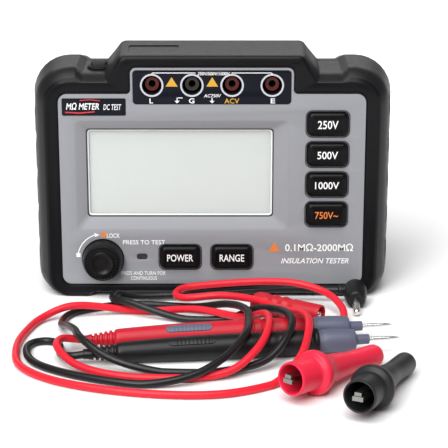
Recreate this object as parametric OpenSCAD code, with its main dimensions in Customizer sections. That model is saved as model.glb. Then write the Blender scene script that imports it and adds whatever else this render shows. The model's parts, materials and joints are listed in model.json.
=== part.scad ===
/* [Case] */
// Overall width across the side grips
case_w = 202; // [200:1:206]
// Height of the raised hump above the sockets
hump_h = 138; // [137:0.5:140]
// Height of the corner bumpers
shoulder_h = 130; // [129:0.5:132]
// Depth from the knob's face to the back wall
overall_d = 94; // [92:1:98]
// How far the knob stands in front of the case's front edge
knob_out = 8; // [7:0.5:9]
// Wall thickness of the case
wall = 2.5; // [2:0.1:3]
// Width of each corner bumper, measured in from the side
bumper_w = 32; // [30:1:34]

/* [Face] */
// Width of the grey face panel
panel_w = 168; // [166:1:170]
// Bottom edge of the face panel
panel_low = 7; // [6.5:0.1:7.5]
// Top edge of the face panel
panel_high = 116; // [115:0.5:117]
// Width of the display window
window_w = 103.2; // [100:0.2:104]
// Height of the display window
window_h = 50.4; // [48:0.2:51]
// Width of the plate that carries the sockets
jack_panel_w = 89; // [88:0.5:90]
// Distance between neighbouring sockets
jack_pitch = 21.8; // [21.4:0.1:22]
// Inside radius of a socket's contact
jack_r = 2; // [2]

/* [Controls] */
// Width of a button
button_w = 22; // [20:0.5:23]
// Height of a button
button_h = 13; // [12:0.5:13.5]
// Travel of a button
button_travel = 1.2; // [0.8:0.1:1.3]
// Distance between the voltage buttons
button_pitch = 17.15; // [16.5:0.05:17.5]
// Diameter of the test knob
knob_d = 22.8; // [22:0.2:23]
// Travel of the test knob when pressed
knob_travel = 3; // [2:0.5:3]

/* [Power] */
// Diameter of a C cell
cell_d = 25.6; // [25:0.1:25.6]
// Length of a C cell
cell_l = 50; // [49:0.5:50]

/* [Leads] */
// Diameter of a lead
lead_d = 4; // [3.8:0.1:4]
// Radius of a probe handle
handle_r = 6.5; // [6:0.1:6.6]

/* [Hidden] */
$fn = 48;
BLACK = [0.1, 0.1, 0.11];
GREY = [0.61, 0.62, 0.64];
METAL = [0.75, 0.75, 0.77];
RED = [0.86, 0.16, 0.2];
SLATE = [0.35, 0.36, 0.42];

// Depths, from the knob's face at the front to the back wall
back_y = overall_d / 2;
edge_y = -overall_d / 2 + knob_out;
face_y = edge_y + 1.5;
split_y = 2;
front_wall_y = edge_y + 6;
half_w = case_w / 2;
base_top = 126.8;
gap = 0.3;
panel_r = 5;

// ---- Case shells ----

// A thin rounded slab in the front view, one station of a hull: half width, bottom, top and corner radius
module slab(y, half, low, high, r) {
    translate([0, y, 0]) rotate([90, 0, 0]) linear_extrude(0.02, center = true)
        hull() {
            for (x = [-half + r, half - r], z = [low + r, high - r]) translate([x, z]) circle(r, $fn = 32);
        }
}

// The same slab for one side only, from the bumper's inner edge to the case's side
module side_slab(y, side, inner, half, low, high, r) {
    translate([0, y, 0]) rotate([90, 0, 0]) linear_extrude(0.02, center = true)
        polygon(concat([[side * inner, low], [side * inner, high]],
            [for (a = [90:-7.5:0]) [side * (half - r + r * cos(a)), high - r + r * sin(a)]],
            [for (a = [0:-7.5:-90]) [side * (half - r + r * cos(a)), low + r + r * sin(a)]]));
}

// Stations of the case: depth, inset from the full half width, rise of the bottom, drop of the top, radius
front_stations = [[edge_y, 11, 0.6, 7, 17], [front_wall_y, 5, 0, 0.8, 22], [edge_y + 22, 1.2, 0, 0, 25],
    [split_y - 0.01, 0, 0, 0, 26]];
rear_stations = [[split_y + 0.01, 0, 0, 0, 26], [split_y + 6, 0, 0, 0, 26], [back_y - 22, 1.4, 0, 3.4, 24],
    [back_y - 3, 5, 0.4, 7.6, 20], [back_y, 9, 2, 10.6, 17]];

module body_hull(stations) {
    hull() {
        for (s = stations) slab(s[0], half_w - s[1] - 2, 2 + s[2], base_top - s[3], s[4] - 2);
    }
}

module bumper_hull(stations, side) {
    hull() {
        for (s = stations)
            side_slab(s[0], side, half_w - bumper_w, half_w - s[1], s[2], shoulder_h - s[3], s[4]);
    }
}

// The raised hump over the sockets, a tapered block: depth, half width at the foot, half width and top
module hump_slab(y, foot, crown, top) {
    translate([0, y, 0]) rotate([90, 0, 0]) linear_extrude(0.02, center = true)
        polygon([[-foot, 110], [foot, 110], [foot, 116], [crown + 2, top - 3], [crown - 2, top],
            [-crown + 2, top], [-crown - 2, top - 3], [-foot, 116]]);
}

module hump_hull(front) {
    hull() {
        hump_slab(front ? split_y - 0.01 : split_y + 0.01, 61, 51, hump_h);
        hump_slab(front ? edge_y + 4 : split_y + 6, front ? 59.5 : 61, 50.5, front ? hump_h - 0.5 : hump_h);
        hump_slab(front ? edge_y + 1.2 : back_y - 3, 59, 50, front ? hump_h - 1.2 : hump_h - 7.4);
        hump_slab(front ? edge_y : back_y, 58, 49, front ? hump_h - 3 : hump_h - 10);
    }
}

// The hollow inside the case
module cavity() {
    hull() {
        slab(front_wall_y - 1, 81, 10, 113, 4);
        slab(edge_y + 22, half_w - 2 - wall, 4.6, base_top - wall, 20);
        slab(split_y, half_w - 2 - wall, 4.6, base_top - wall, 20);
        slab(back_y - 22, half_w - 5 - wall, 4.6, base_top - 3.4 - wall, 20);
        slab(back_y - wall, 88, 7, 116, 14);
    }
    // room in the hump, round the sockets and behind the battery cover's screws
    translate([-47, edge_y + 12, 118]) cube([94, 42, 17]);
    translate([-44.3, front_wall_y, 111]) cube([88.6, 26, 18.2]);
    translate([-52, back_y - 18, 108]) cube([104, 18 - wall, 17]);
}

module rounded_plate(x0, x1, z0, z1, r, y0, y1) {
    translate([0, y1, 0]) rotate([90, 0, 0]) linear_extrude(y1 - y0) rounded_rect(x0, x1, z0, z1, r);
}

module rounded_rect(x0, x1, z0, z1, r) {
    union() {
        translate([x0 + r, z0]) square([x1 - x0 - 2 * r, z1 - z0]);
        translate([x0, z0 + r]) square([x1 - x0, z1 - z0 - 2 * r]);
        for (x = [x0 + r, x1 - r], z = [z0 + r, z1 - r]) translate([x, z]) circle(r);
    }
}

// Outline of the grey panel with the tongue that frames the socket plate
tongue_low = 108.9;
tongue_high = 130.4;
module panel_outline(grow) {
    union() {
        rounded_rect(-panel_w / 2 - grow, panel_w / 2 + grow, panel_low - grow, panel_high + grow, panel_r + grow);
        rounded_rect(-jack_panel_w / 2 - grow, jack_panel_w / 2 + grow, tongue_low, tongue_high + grow, 3.2 + grow);
    }
}

pocket_z = [25, 45.5, 66, 86.5, 107];
pocket_h = 11.5;
cap_x = -62.4;
cap_y = edge_y + 20;

module front_case() {
    color(BLACK) difference() {
        union() {
            body_hull(front_stations);
            bumper_hull(front_stations, -1);
            bumper_hull(front_stations, 1);
            hump_hull(true);
        }
        cavity();
        translate([0, front_wall_y, 0]) rotate([90, 0, 0]) linear_extrude(10) panel_outline(gap);
        for (side = [-1, 1], z = pocket_z)
            translate([side * (half_w + 1) - 4, edge_y + 9, z - pocket_h / 2]) cube([8, 24, pocket_h]);
        translate([cap_x, cap_y, 120]) cylinder(h = 20, r = 4.4);
        translate([cap_x, cap_y, base_top + 0.02]) cylinder(h = 20, r = 7);
        foot_seats();
    }
}

foot_x = [-51.4, -25.7, 25.7, 51.4];
module foot_seats() {
    for (x = foot_x, y = [edge_y + 3, back_y - 15]) translate([x - 5.75, y, -1]) cube([11.5, 12, 4.4]);
}

bay_x = 62;
bay_low = 7.6;
bay_high = 115;
cover_screw_z = 119.6;
// Outline of the battery cover, with the tongue that carries its two screws
module bay_outline(grow) {
    union() {
        rounded_rect(-bay_x - grow, bay_x + grow, bay_low - grow, bay_high + grow, 3.7 + grow);
        rounded_rect(-49 - grow, 49 + grow, bay_high - 8, 124.6 + grow, 3 + grow);
    }
}

module rear_case() {
    color(BLACK) difference() {
        union() {
            body_hull(rear_stations);
            bumper_hull(rear_stations, -1);
            bumper_hull(rear_stations, 1);
            hump_hull(false);
        }
        cavity();
        translate([0, back_y + 1, 0]) rotate([90, 0, 0]) linear_extrude(wall + 2) bay_outline(gap);
        for (x = [-78, 78], z = [22, 104])
            translate([x, back_y + 1, z]) rotate([90, 0, 0]) cylinder(h = 6, r = 4);
        foot_seats();
    }
    // bosses for the case screws
    color(BLACK) for (x = [-78, 78], z = [22, 104])
        translate([x, back_y - 5, z]) rotate([90, 0, 0]) difference() {
            cylinder(h = back_y - 5 - split_y, r = 5.2);
            translate([0, 0, -1]) cylinder(h = 8, r = 1.6);
        }
}

// ---- Face ----

window_x = -17.8;
window_z = 70.8;
bezel = [-75, 42, 39, 101];
plate_t = 2.5;
button_col_x = 63.3;
button_col_z = 99.3;
button_row_z = 23;
power_x = -18;
range_x = 10.9;
button_spots = [for (i = [0:3]) [button_col_x, button_col_z - i * button_pitch],
    [power_x, button_row_z], [range_x, button_row_z]];
knob_x = -61.2;
knob_z = 21.6;
led_x = -39.3;
led_z = 23.1;
jack_z = 120.8;
jack_spots = [for (i = [0:3]) (i - 1.5) * jack_pitch];
socket_r = 5.2;

module face_panel() {
    color(GREY) difference() {
        union() {
            translate([0, face_y + plate_t, 0]) rotate([90, 0, 0]) linear_extrude(plate_t) panel_outline(0);
            rounded_plate(bezel[0] - 2, bezel[1] + 2, bezel[2] - 2, bezel[3] + 2, 4, face_y + plate_t - 0.5, face_y + 4);
            difference() {
                translate([0, front_wall_y, 0]) rotate([90, 0, 0]) linear_extrude(front_wall_y - face_y - 1)
                    panel_outline(0);
                translate([0, front_wall_y + 1, 0]) rotate([90, 0, 0]) linear_extrude(20)
                    difference() {
                        rounded_rect(-panel_w / 2 + 3, panel_w / 2 - 3, panel_low + 3, panel_high - 3, 3);
                        translate([-jack_panel_w / 2, tongue_low]) square([jack_panel_w, 30]);
                    }
            }
        }
        hull() {
            rounded_plate(bezel[0], bezel[1], bezel[2], bezel[3], 3, face_y - 0.5, face_y - 0.4);
            rounded_plate(window_x - window_w / 2, window_x + window_w / 2, window_z - window_h / 2,
                window_z + window_h / 2, 2, face_y + 3, face_y + 3.1);
        }
        rounded_plate(window_x - window_w / 2, window_x + window_w / 2, window_z - window_h / 2,
            window_z + window_h / 2, 2, face_y + 2, face_y + 9);
        for (s = button_spots)
            rounded_plate(s[0] - button_w / 2 - gap, s[0] + button_w / 2 + gap, s[1] - button_h / 2 - gap,
                s[1] + button_h / 2 + gap, 2.8, face_y - 1, face_y + 9);
        translate([knob_x, face_y + 9, knob_z]) rotate([90, 0, 0]) cylinder(h = 12, r = knob_d / 2 + 0.4);
        rounded_plate(led_x - 3, led_x + 3, led_z - 1.7, led_z + 1.7, 1.2, face_y - 1, face_y + 9);
        // seat for the socket plate, and the sockets' clearance holes
        rounded_plate(-jack_panel_w / 2 + 1.4, jack_panel_w / 2 - 1.4, tongue_low + 1.4, tongue_high - 1.4, 2,
            face_y - 1, face_y + 1);
        for (x = jack_spots)
            translate([x, face_y + 9, jack_z]) rotate([90, 0, 0]) cylinder(h = 12, r = socket_r + 1.4);
        // seat for the name plate
        rounded_plate(-81.7, -46.9, 104.5, 113.9, 1.5, face_y - 1, face_y + 0.5);
    }
}

// Plate with the four socket shrouds in one moulding
shroud_end_y = face_y + 24;
module jack_panel() {
    color(BLACK) difference() {
        union() {
            rounded_plate(-jack_panel_w / 2 + 1.5, jack_panel_w / 2 - 1.5, tongue_low + 1.5, tongue_high - 1.5,
                1.9, face_y - 0.2, face_y + 1);
            for (x = jack_spots)
                translate([x, shroud_end_y, jack_z]) rotate([90, 0, 0])
                    cylinder(h = shroud_end_y - face_y, r = socket_r + 1.2);
        }
        for (x = jack_spots)
            translate([x, shroud_end_y + 1, jack_z]) rotate([90, 0, 0]) cylinder(h = 30, r = socket_r);
    }
}

// Coloured insulating post that closes a shroud from behind and carries the contact
post_y = face_y + 4;
contact_y = post_y + 1;
module jack(i, tint) {
    color(tint) translate([jack_spots[i], 0, jack_z]) rotate([-90, 0, 0]) difference() {
        union() {
            translate([0, 0, post_y]) cylinder(h = shroud_end_y - post_y + 2, r = 3.8);
            translate([0, 0, shroud_end_y]) cylinder(h = 2, r = socket_r + 1.2);
        }
        translate([0, 0, post_y - 1]) cylinder(h = 60, r = 2.5);
    }
}

module contact(i) {
    color(METAL) translate([jack_spots[i], 0, jack_z]) rotate([-90, 0, 0]) {
        difference() {
            translate([0, 0, contact_y]) cylinder(h = 22, r = 2.5);
            translate([0, 0, contact_y - 1]) cylinder(h = 21, r = jack_r);
        }
        translate([0, 0, contact_y + 22]) cylinder(h = 5, r = 0.9);
    }
}

module name_plate() {
    color(BLACK) rounded_plate(-81.6, -47, 104.6, 113.8, 1.4, face_y - 0.1, face_y + 0.5);
}

lens_y = face_y + 4;
module lcd_window() {
    color([0.85, 0.87, 0.86, 0.4]) rounded_plate(window_x - window_w / 2 - 2, window_x + window_w / 2 + 2,
        window_z - window_h / 2 - 2, window_z + window_h / 2 + 2, 1, lens_y, lens_y + 1.2);
}

module lcd_module() {
    color([0.8, 0.82, 0.8]) rounded_plate(window_x - window_w / 2 - 3, window_x + window_w / 2 + 3,
        window_z - window_h / 2 - 4, window_z + window_h / 2 + 4, 1, lens_y + 1.2, lens_y + 4);
}

module backlight() {
    color("white") rounded_plate(window_x - window_w / 2 - 1, window_x + window_w / 2 + 1,
        window_z - window_h / 2 - 2, window_z + window_h / 2 + 2, 1, lens_y + 4, board_y);
}

// ---- Electronics ----

board_y = lens_y + 7;
board_t = 1.6;
module main_board() {
    color([0.1, 0.4, 0.2]) difference() {
        rounded_plate(-80, 80, 11, 111, 2, board_y, board_y + board_t);
        translate([knob_x - 11, board_y - 1, knob_z - 11]) cube([22, 4, 22]);
    }
}

module transformer() {
    color([0.45, 0.3, 0.15]) translate([45, board_y + board_t, 85]) {
        cube([26, 12, 20]);
        translate([4, 12, 3]) cube([18, 3, 14]);
    }
}

module capacitors() {
    color([0.15, 0.2, 0.5]) for (i = [0:3])
        translate([-70 + i * 14, board_y + board_t, 98]) rotate([-90, 0, 0]) cylinder(h = 15, r = 5);
}

mat_y = board_y - 4.4;
mat_t = 1.2;
module keypad_mat() {
    color([0.25, 0.25, 0.27]) {
        translate([0, mat_y + mat_t, 0]) rotate([90, 0, 0]) linear_extrude(mat_t) union() {
            translate([button_col_x - 14, 13]) square([28, 96]);
            translate([power_x - 14, 13]) square([button_col_x - power_x, 20]);
        }
        for (s = button_spots)
            translate([s[0], mat_y + mat_t, s[1]]) rotate([-90, 0, 0])
                cylinder(h = board_y - mat_y - mat_t, r = 3);
    }
}

module led_lens() {
    color([0.25, 0.08, 0.08]) rounded_plate(led_x - 2.95, led_x + 2.95, led_z - 1.65, led_z + 1.65, 1.15,
        face_y + 0.2, face_y + 5);
}

// ---- Buttons ----

button_y = face_y - 2.7;
module button(i) {
    s = button_spots[i];
    color(BLACK) {
        rounded_plate(s[0] - button_w / 2, s[0] + button_w / 2, s[1] - button_h / 2, s[1] + button_h / 2, 2.5,
            button_y, face_y + plate_t + 0.5);
        rounded_plate(s[0] - button_w / 2 - 1.2, s[0] + button_w / 2 + 1.2, s[1] - button_h / 2 - 1.2,
            s[1] + button_h / 2 + 1.2, 2.5, face_y + plate_t + 0.2, face_y + plate_t + 1.4);
    }
}

// ---- Test knob ----

knob_y = -overall_d / 2;
knob_back = face_y + 1;
shaft_r = 3;
switch_y = knob_back + 9;
module test_knob() {
    color(BLACK) translate([knob_x, 0, knob_z]) rotate([-90, 0, 0]) difference() {
        rotate_extrude() polygon([[0, knob_y + 1.6], [5.4, knob_y + 1.2], [6.6, knob_y], [8.4, knob_y],
            [9.8, knob_y + 1.4], [knob_d / 2, knob_y + 5.5], [knob_d / 2, knob_back], [0, knob_back]]);
        translate([0, 0, knob_back - 6]) cylinder(h = 10, r = shaft_r + 0.05);
        for (a = [0:15:345]) rotate([0, 0, a]) translate([9.6, 0, knob_y - 0.1]) rotate([0, 14, 0])
            translate([0, -0.4, 0]) cube([1.2, 0.8, 2.6]);
    }
}

module knob_plunger() {
    color(METAL) translate([knob_x, 0, knob_z]) rotate([-90, 0, 0]) {
        translate([0, 0, knob_back - 5.8]) cylinder(h = 5.8 + 9 + 8, r = shaft_r);
        translate([0, 0, knob_back + 0.3]) cylinder(h = 1.5, r = 5);
    }
}

module test_switch() {
    color([0.2, 0.2, 0.22]) difference() {
        translate([knob_x - 10, switch_y, knob_z - 10]) cube([20, 17, 20]);
        translate([knob_x, switch_y - 1, knob_z]) rotate([-90, 0, 0]) cylinder(h = 14, r = shaft_r + 0.05);
    }
}

// ---- Power ----

tray_y = back_y - 34;
tray_back = back_y - wall - 1.2;
cell_rows = [for (i = [0:3]) 9.6 + cell_d / 2 + i * (cell_d + 0.3)];
cell_y = tray_y + 2 + cell_d / 2 + 0.2;
module battery_tray() {
    color([0.15, 0.15, 0.16]) {
        difference() {
            rounded_plate(-60, 60, 7.8, 114.8, 2, tray_y, tray_back);
            rounded_plate(-58.4, 58.4, 9.4, 113.2, 1, tray_y + 1.6, tray_back + 1);
        }
        difference() {
            translate([-48, tray_back - 12, 114.3]) cube([96, 12, 9.7]);
            for (x = [-42, 42])
                translate([x, tray_back + 1, cover_screw_z]) rotate([90, 0, 0]) cylinder(h = 20, r = 1.7);
        }
    }
}

module batteries() {
    color([0.75, 0.55, 0.3]) for (side = [-1, 1], z = cell_rows)
        translate([side * (cell_l / 2 + 0.6), cell_y, z]) rotate([0, side * 90, 0]) {
            cylinder(h = cell_l - 1.5, r = cell_d / 2, center = true);
            cylinder(h = cell_l, r = 4, center = true);
        }
}

module battery_contacts() {
    color(METAL) for (side = [-1, 1], z = cell_rows) {
        translate([side * 57.9, cell_y, z]) cube([0.8, 14, 16], center = true);
        translate([side * 57.5, cell_y, z]) rotate([0, -side * 90, 0]) {
            cylinder(h = 3, r = 6);
            translate([0, 0, 3]) cylinder(h = 3.5, r = 4.5);
        }
    }
}

cover_y = back_y - wall;
module battery_cover() {
    color(BLACK) difference() {
        union() {
            translate([0, back_y, 0]) rotate([90, 0, 0]) linear_extrude(back_y - cover_y) bay_outline(0);
            for (z = [40, 60, 80]) translate([-30, back_y - 0.6, z]) cube([60, 0.6, 2]);
        }
        for (x = [-42, 42]) {
            translate([x, back_y + 1, cover_screw_z]) rotate([90, 0, 0]) cylinder(h = 5, r = 1.7);
            translate([x, back_y + 1, cover_screw_z]) rotate([90, 0, 0]) cylinder(h = 2.2, r = 3.3);
        }
        // finger recess
        translate([-14, back_y - 1, bay_low + 6]) cube([28, 3, 9]);
    }
}

module screw(x, y, z, shank, head_r) {
    translate([x, y, z]) rotate([90, 0, 0]) difference() {
        union() {
            translate([0, 0, -1.1]) cylinder(h = 1, r = head_r);
            translate([0, 0, -0.2]) cylinder(h = shank, r = 1.5);
        }
        for (a = [0, 90]) rotate([0, 0, a]) translate([-1.8, -0.35, -1.2]) cube([3.6, 0.7, 0.8]);
    }
}

module cover_screws() {
    color(METAL) for (x = [-42, 42]) screw(x, back_y - 1.3, cover_screw_z, 9, 2.9);
}

module case_screws() {
    color(METAL) for (x = [-78, 78], z = [22, 104]) screw(x, back_y - 5.1, z, 6, 3.2);
}

module bottom_feet() {
    color([0.06, 0.06, 0.06]) for (x = foot_x, y = [edge_y + 3, back_y - 15])
        translate([x - 5.75, y, 0]) cube([11.5, 12, 3.4]);
}

module adaptor_socket() {
    color([0.12, 0.12, 0.12]) difference() {
        translate([cap_x - 5, board_y + board_t, base_top - 22])
            cube([10, cap_y + 5 - board_y - board_t, 14]);
        translate([cap_x, cap_y, base_top - 20]) cylinder(h = 20, r = 3);
    }
    color(METAL) translate([cap_x, cap_y, base_top - 22]) cylinder(h = 3.5, r = 1);
}

module adaptor_cap() {
    color([0.08, 0.08, 0.09]) translate([cap_x, cap_y, base_top]) {
        translate([0, 0, 0.1]) cylinder(h = 1.6, r = 6.6);
        translate([-4, -2.5, 1.6]) cube([8, 5, 2.4]);
        translate([0, 0, -7]) cylinder(h = 7.2, r = 4.1);
        translate([0, 0, -18]) cylinder(h = 11.5, r = 2.7);
    }
}

// ---- Leads ----

// Routes of the two leads over the table, from the probe handle to the plug
red_route = [[-64, -121.5, 5.6], [-70, -121.8, 6.3], [-76, -126, 8.2], [-77.5, -138, 8.5], [-67, -151, 4],
    [-38, -162.5, 2], [8, -161, 4], [23, -150, 12], [29, -134, 17.2], [28, -114, 17.2], [16, -94, 8],
    [-8, -78, 6.5], [-38, -68, 2], [-76, -74, 7], [-91, -81, 3], [-98, -100, 2], [-100, -124, 2],
    [-95, -148, 2], [-76, -167, 2], [-36, -182, 2], [4, -184, 2], [30, -172, 2], [44, -156, 10],
    [49, -138, 17.8], [48, -116, 17.8], [38, -96, 13], [22, -80, 13], [4, -71, 12], [-10, -68.7, 10],
    [-17, -65.8, 9], [-20, -58.7, 8.5], [-17, -51.6, 9], [-10, -48.7, 9.5], [44, -51, 12.5], [64, -61, 9],
    [71, -80, 5], [65, -96, 2.5], [33, -100, 2], [20, -94, 3], [21.5, -83, 6.5]];
black_route = [[-64, -141, 5.4], [-70, -140.6, 4.5], [-75.8, -136, 3.5], [-77.5, -123, 2.5],
    [-79.8, -116.2, 2], [-86, -113.5, 2], [-92.2, -116.2, 2], [-94.5, -123, 2], [-90, -141, 2],
    [-72, -157, 2], [-34, -171.5, 2], [-8, -168, 5.5], [8, -156, 11], [17, -142, 16.4], [19, -124, 16.6],
    [18, -104, 16], [8, -82, 11], [-10, -67, 4], [-46, -57.5, 2], [-76, -72, 2], [-80, -90, 3],
    [-75, -107, 8], [-70, -123, 12], [-65, -139, 13.2], [-51, -150, 7.5], [-24, -156, 2], [6, -156, 2.5],
    [28, -149, 6], [39, -137, 15], [41, -121, 17.5], [35, -103, 15.5], [23, -92, 12], [10, -84, 4],
    [-14, -81, 2], [-45, -71, 8], [-54, -64, 7.5], [-53, -54, 7], [-42, -48.5, 3.5], [38, -45, 6.5],
    [70, -48, 6.9]];
lead_sides = 8;
lead_steps = 2;

// Slope of the smooth curve at p1, between p0 and p2, whose spacing may be uneven
function slope(p0, p1, p2) = let (a = sqrt(norm(p1 - p0)), b = sqrt(norm(p2 - p1)))
    (p1 - p0) / a - (p2 - p0) / (a + b) + (p2 - p1) / b;
// A point on the smooth curve through p1 and p2, a fraction t of the way from p1
function curve_point(p0, p1, p2, p3, t) = let (w = sqrt(norm(p2 - p1)))
    (2 * t * t * t - 3 * t * t + 1) * p1 + (t * t * t - 2 * t * t + t) * w * slope(p0, p1, p2)
    + (3 * t * t - 2 * t * t * t) * p2 + (t * t * t - t * t) * w * slope(p1, p2, p3);
// A lead never sinks below the table
function lifted(p) = [p[0], p[1], max(lead_d / 2, p[2])];
function smooth(pts, steps) = [
    for (i = [0:len(pts) - 2], k = [0:steps - 1])
        lifted(curve_point(i == 0 ? 2 * pts[0] - pts[1] : pts[i - 1], pts[i], pts[i + 1],
            i + 2 < len(pts) ? pts[i + 2] : 2 * pts[i + 1] - pts[i], k / steps)),
    pts[len(pts) - 1]];
function unit(v) = v / norm(v);
function heading(p, i) = unit(p[min(i + 1, len(p) - 1)] - p[max(i - 1, 0)]);

module tube(path, r, sides) {
    n = len(path);
    points = [
        for (i = [0:n - 1])
            let (t = heading(path, i), side = unit(cross(t, [0, 0, 1])), lift = cross(side, t))
            for (k = [0:sides - 1])
                path[i] + r * (cos(360 * k / sides) * side + sin(360 * k / sides) * lift)];
    walls = [
        for (i = [0:n - 2], k = [0:sides - 1])
            let (a = i * sides + k, b = i * sides + (k + 1) % sides)
            [a, b, b + sides, a + sides]];
    polyhedron(points, concat([[for (k = [0:sides - 1]) sides - 1 - k]], walls,
        [[for (k = [0:sides - 1]) (n - 1) * sides + k]]), convexity = 10);
}

module red_lead() {
    color(RED) tube(smooth(red_route, lead_steps), lead_d / 2, lead_sides);
}

module black_lead() {
    color(BLACK) tube(smooth(black_route, lead_steps), lead_d / 2, lead_sides);
}

// Turns the upright axis to a heading in the plan and a pitch above the table
module aim(at, turn, pitch) {
    translate(at) rotate([0, 90 - pitch, turn]) children();
}

// ---- Plugs, 4 mm, with the lead from the side ----

red_plug_at = [26.5, -67.5, 6.5];
red_plug_turn = -30;
red_stub_at = [21.5, -83, 6.5];
black_plug_at = [79.5, -48.2, 6.9];
black_plug_turn = 268;
black_plug_pitch = -10;
black_stub_at = [70, -48, 6.9];

// Wavy plug body from its round end to the mouth of the shroud round the pin
module red_plug() {
    color(RED) {
        difference() {
            aim(red_plug_at, red_plug_turn, 0) rotate_extrude() polygon(concat(
                [for (a = [-90:15:0]) [5.8 * cos(a), 5.8 * sin(a)]],
                [[5.9, 3], [5.2, 6], [6, 9], [5.3, 12], [6, 15], [5.3, 18], [5.5, 21], [5, 37], [0, 37]]));
            aim(red_plug_at, red_plug_turn, 0) translate([0, 0, 21]) cylinder(h = 20, r = 3.9);
            aim(red_plug_at, red_plug_turn, 0) translate([0, 0, 16]) cylinder(h = 10, r = 1.6);
        }
        difference() {
            translate(red_stub_at) rotate([0, 90, 74]) cylinder(h = 13, r1 = 2.6, r2 = 3.4);
            aim(red_plug_at, red_plug_turn, 0) sphere(5.7);
            aim(red_plug_at, red_plug_turn, 0) cylinder(h = 20, r = 5.1);
        }
    }
}

module red_plug_pin() {
    color(METAL) aim(red_plug_at, red_plug_turn, 0) {
        translate([0, 0, 17]) cylinder(h = 6, r = 1.6);
        translate([0, 0, 21]) cylinder(h = 14, r = 1.95);
        translate([0, 0, 35]) cylinder(h = 1.5, r1 = 1.95, r2 = 1.2);
    }
}

// Angled plug: the lead enters from the side of a round head
module black_plug() {
    color(BLACK) {
        difference() {
            aim(black_plug_at, black_plug_turn, black_plug_pitch) rotate_extrude()
                polygon(concat([for (a = [-90:15:0]) [6 * cos(a), 6 * sin(a)]],
                    [[5.8, 4], [5.2, 9], [4.6, 12], [0, 12]]));
            aim(black_plug_at, black_plug_turn, black_plug_pitch) translate([0, 0, 2]) cylinder(h = 20, r = 1.6);
        }
        difference() {
            translate(black_stub_at) rotate([0, 90, 0]) cylinder(h = 6, r1 = 2.6, r2 = 3.4);
            aim(black_plug_at, black_plug_turn, black_plug_pitch) sphere(5.9);
        }
    }
}

module black_plug_pin() {
    color(METAL) aim(black_plug_at, black_plug_turn, black_plug_pitch) {
        translate([0, 0, 4]) cylinder(h = 8.5, r = 1.6);
        translate([0, 0, 12]) cylinder(h = 12, r = 1.95);
        translate([0, 0, 24]) cylinder(h = 1.5, r1 = 1.95, r2 = 1.2);
    }
}

// ---- Probes ----

red_probe_at = [-49, -120, 5.7];
black_probe_at = [-47, -139, 5.7];
probe_turn = 6.1;
probe_pitch = 0.9;
handle_l = 101;
ring_r = 7.2;

module probe_handle(at) {
    aim(at, probe_turn, probe_pitch) difference() {
        rotate_extrude() polygon([[0, -15], [2.6, -15], [3.4, -10], [4.2, -2], [5, 0], [5.5, 2], [handle_r, 40],
            [handle_r, handle_l - 8], [6, handle_l - 2], [ring_r, handle_l - 1], [ring_r, handle_l + 1],
            [0, handle_l + 1]]);
        translate([0, 0, handle_l - 10]) cylinder(h = 20, r = 1);
    }
}

module probe_guard(at) {
    color(SLATE) aim(at, probe_turn, probe_pitch) difference() {
        rotate_extrude() polygon([[0, handle_l + 1], [5.6, handle_l + 1], [6.2, handle_l + 5], [5.6, handle_l + 19],
            [4.4, handle_l + 20.5], [2.9, handle_l + 21], [2.6, handle_l + 27], [1.5, handle_l + 27.5],
            [0, handle_l + 27.5]]);
        translate([0, 0, handle_l]) cylinder(h = 40, r = 1);
    }
}

module probe_tip(at) {
    color(METAL) aim(at, probe_turn, probe_pitch) {
        translate([0, 0, handle_l - 9]) cylinder(h = 48, r = 1);
        translate([0, 0, handle_l + 39]) cylinder(h = 4, r1 = 1, r2 = 0.2);
    }
}

// ---- Crocodile clips with soft boots that push onto the probe tips ----

red_clip_at = [83, -142, 5.6];
red_clip_turn = 228;
black_clip_at = [97, -152, 5.6];
black_clip_turn = 245;
clip_pitch = 6.3;
boot_l = 68;
pivot_s = 50;

module clip_boot(at, turn) {
    aim(at, turn, clip_pitch) difference() {
        rotate_extrude() polygon([[0, 0], [3.6, 0], [5, 1], [5.6, 3], [5.4, 22], [6.4, 32], [7.4, 40], [9.4, 44],
            [10.8, 48], [11, 51], [10, 52.6], [8.4, 53], [7.9, 55], [8.2, boot_l - 1], [7.8, boot_l],
            [7, boot_l], [0, boot_l]]);
        translate([0, 0, 34]) cylinder(h = 40, r = 6.2);
        translate([0, 0, 52]) cylinder(h = 40, r = 6.9);
        translate([0, 0, -1]) cylinder(h = 40, r = 2.1);
    }
}

// Socket sleeve with the fixed jaw and the pivot ears
module lower_jaw(at, turn) {
    color(METAL) aim(at, turn, clip_pitch) {
        difference() {
            translate([0, 0, 8]) cylinder(h = 30, r = 2.05);
            translate([0, 0, 7]) cylinder(h = 26, r = 1.15);
        }
        translate([0.6, -2.6, 36]) cube([1, 5.2, 34]);
        translate([-0.6, -2.6, 68]) cube([1.4, 5.2, 2]);
        for (y = [-2.6, 2]) translate([-3, y, pivot_s - 3]) cube([3.8, 0.6, 6]);
        translate([-1.6, -2.6, pivot_s]) rotate([-90, 0, 0]) cylinder(h = 5.2, r = 0.6);
    }
}

// Moving jaw, a channel hung on the pivot
module upper_jaw(at, turn) {
    color(METAL) aim(at, turn, clip_pitch) difference() {
        union() {
            translate([-2.6, -1.7, 41]) cube([0.8, 3.4, 29]);
            translate([-2.6, -1.7, 68]) cube([1.7, 3.4, 2]);
            for (y = [-1.7, 1.1]) translate([-2.6, y, pivot_s - 2]) cube([2.2, 0.6, 4]);
        }
        translate([-1.6, -3, pivot_s]) rotate([-90, 0, 0]) cylinder(h = 6, r = 0.65);
    }
}

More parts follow.
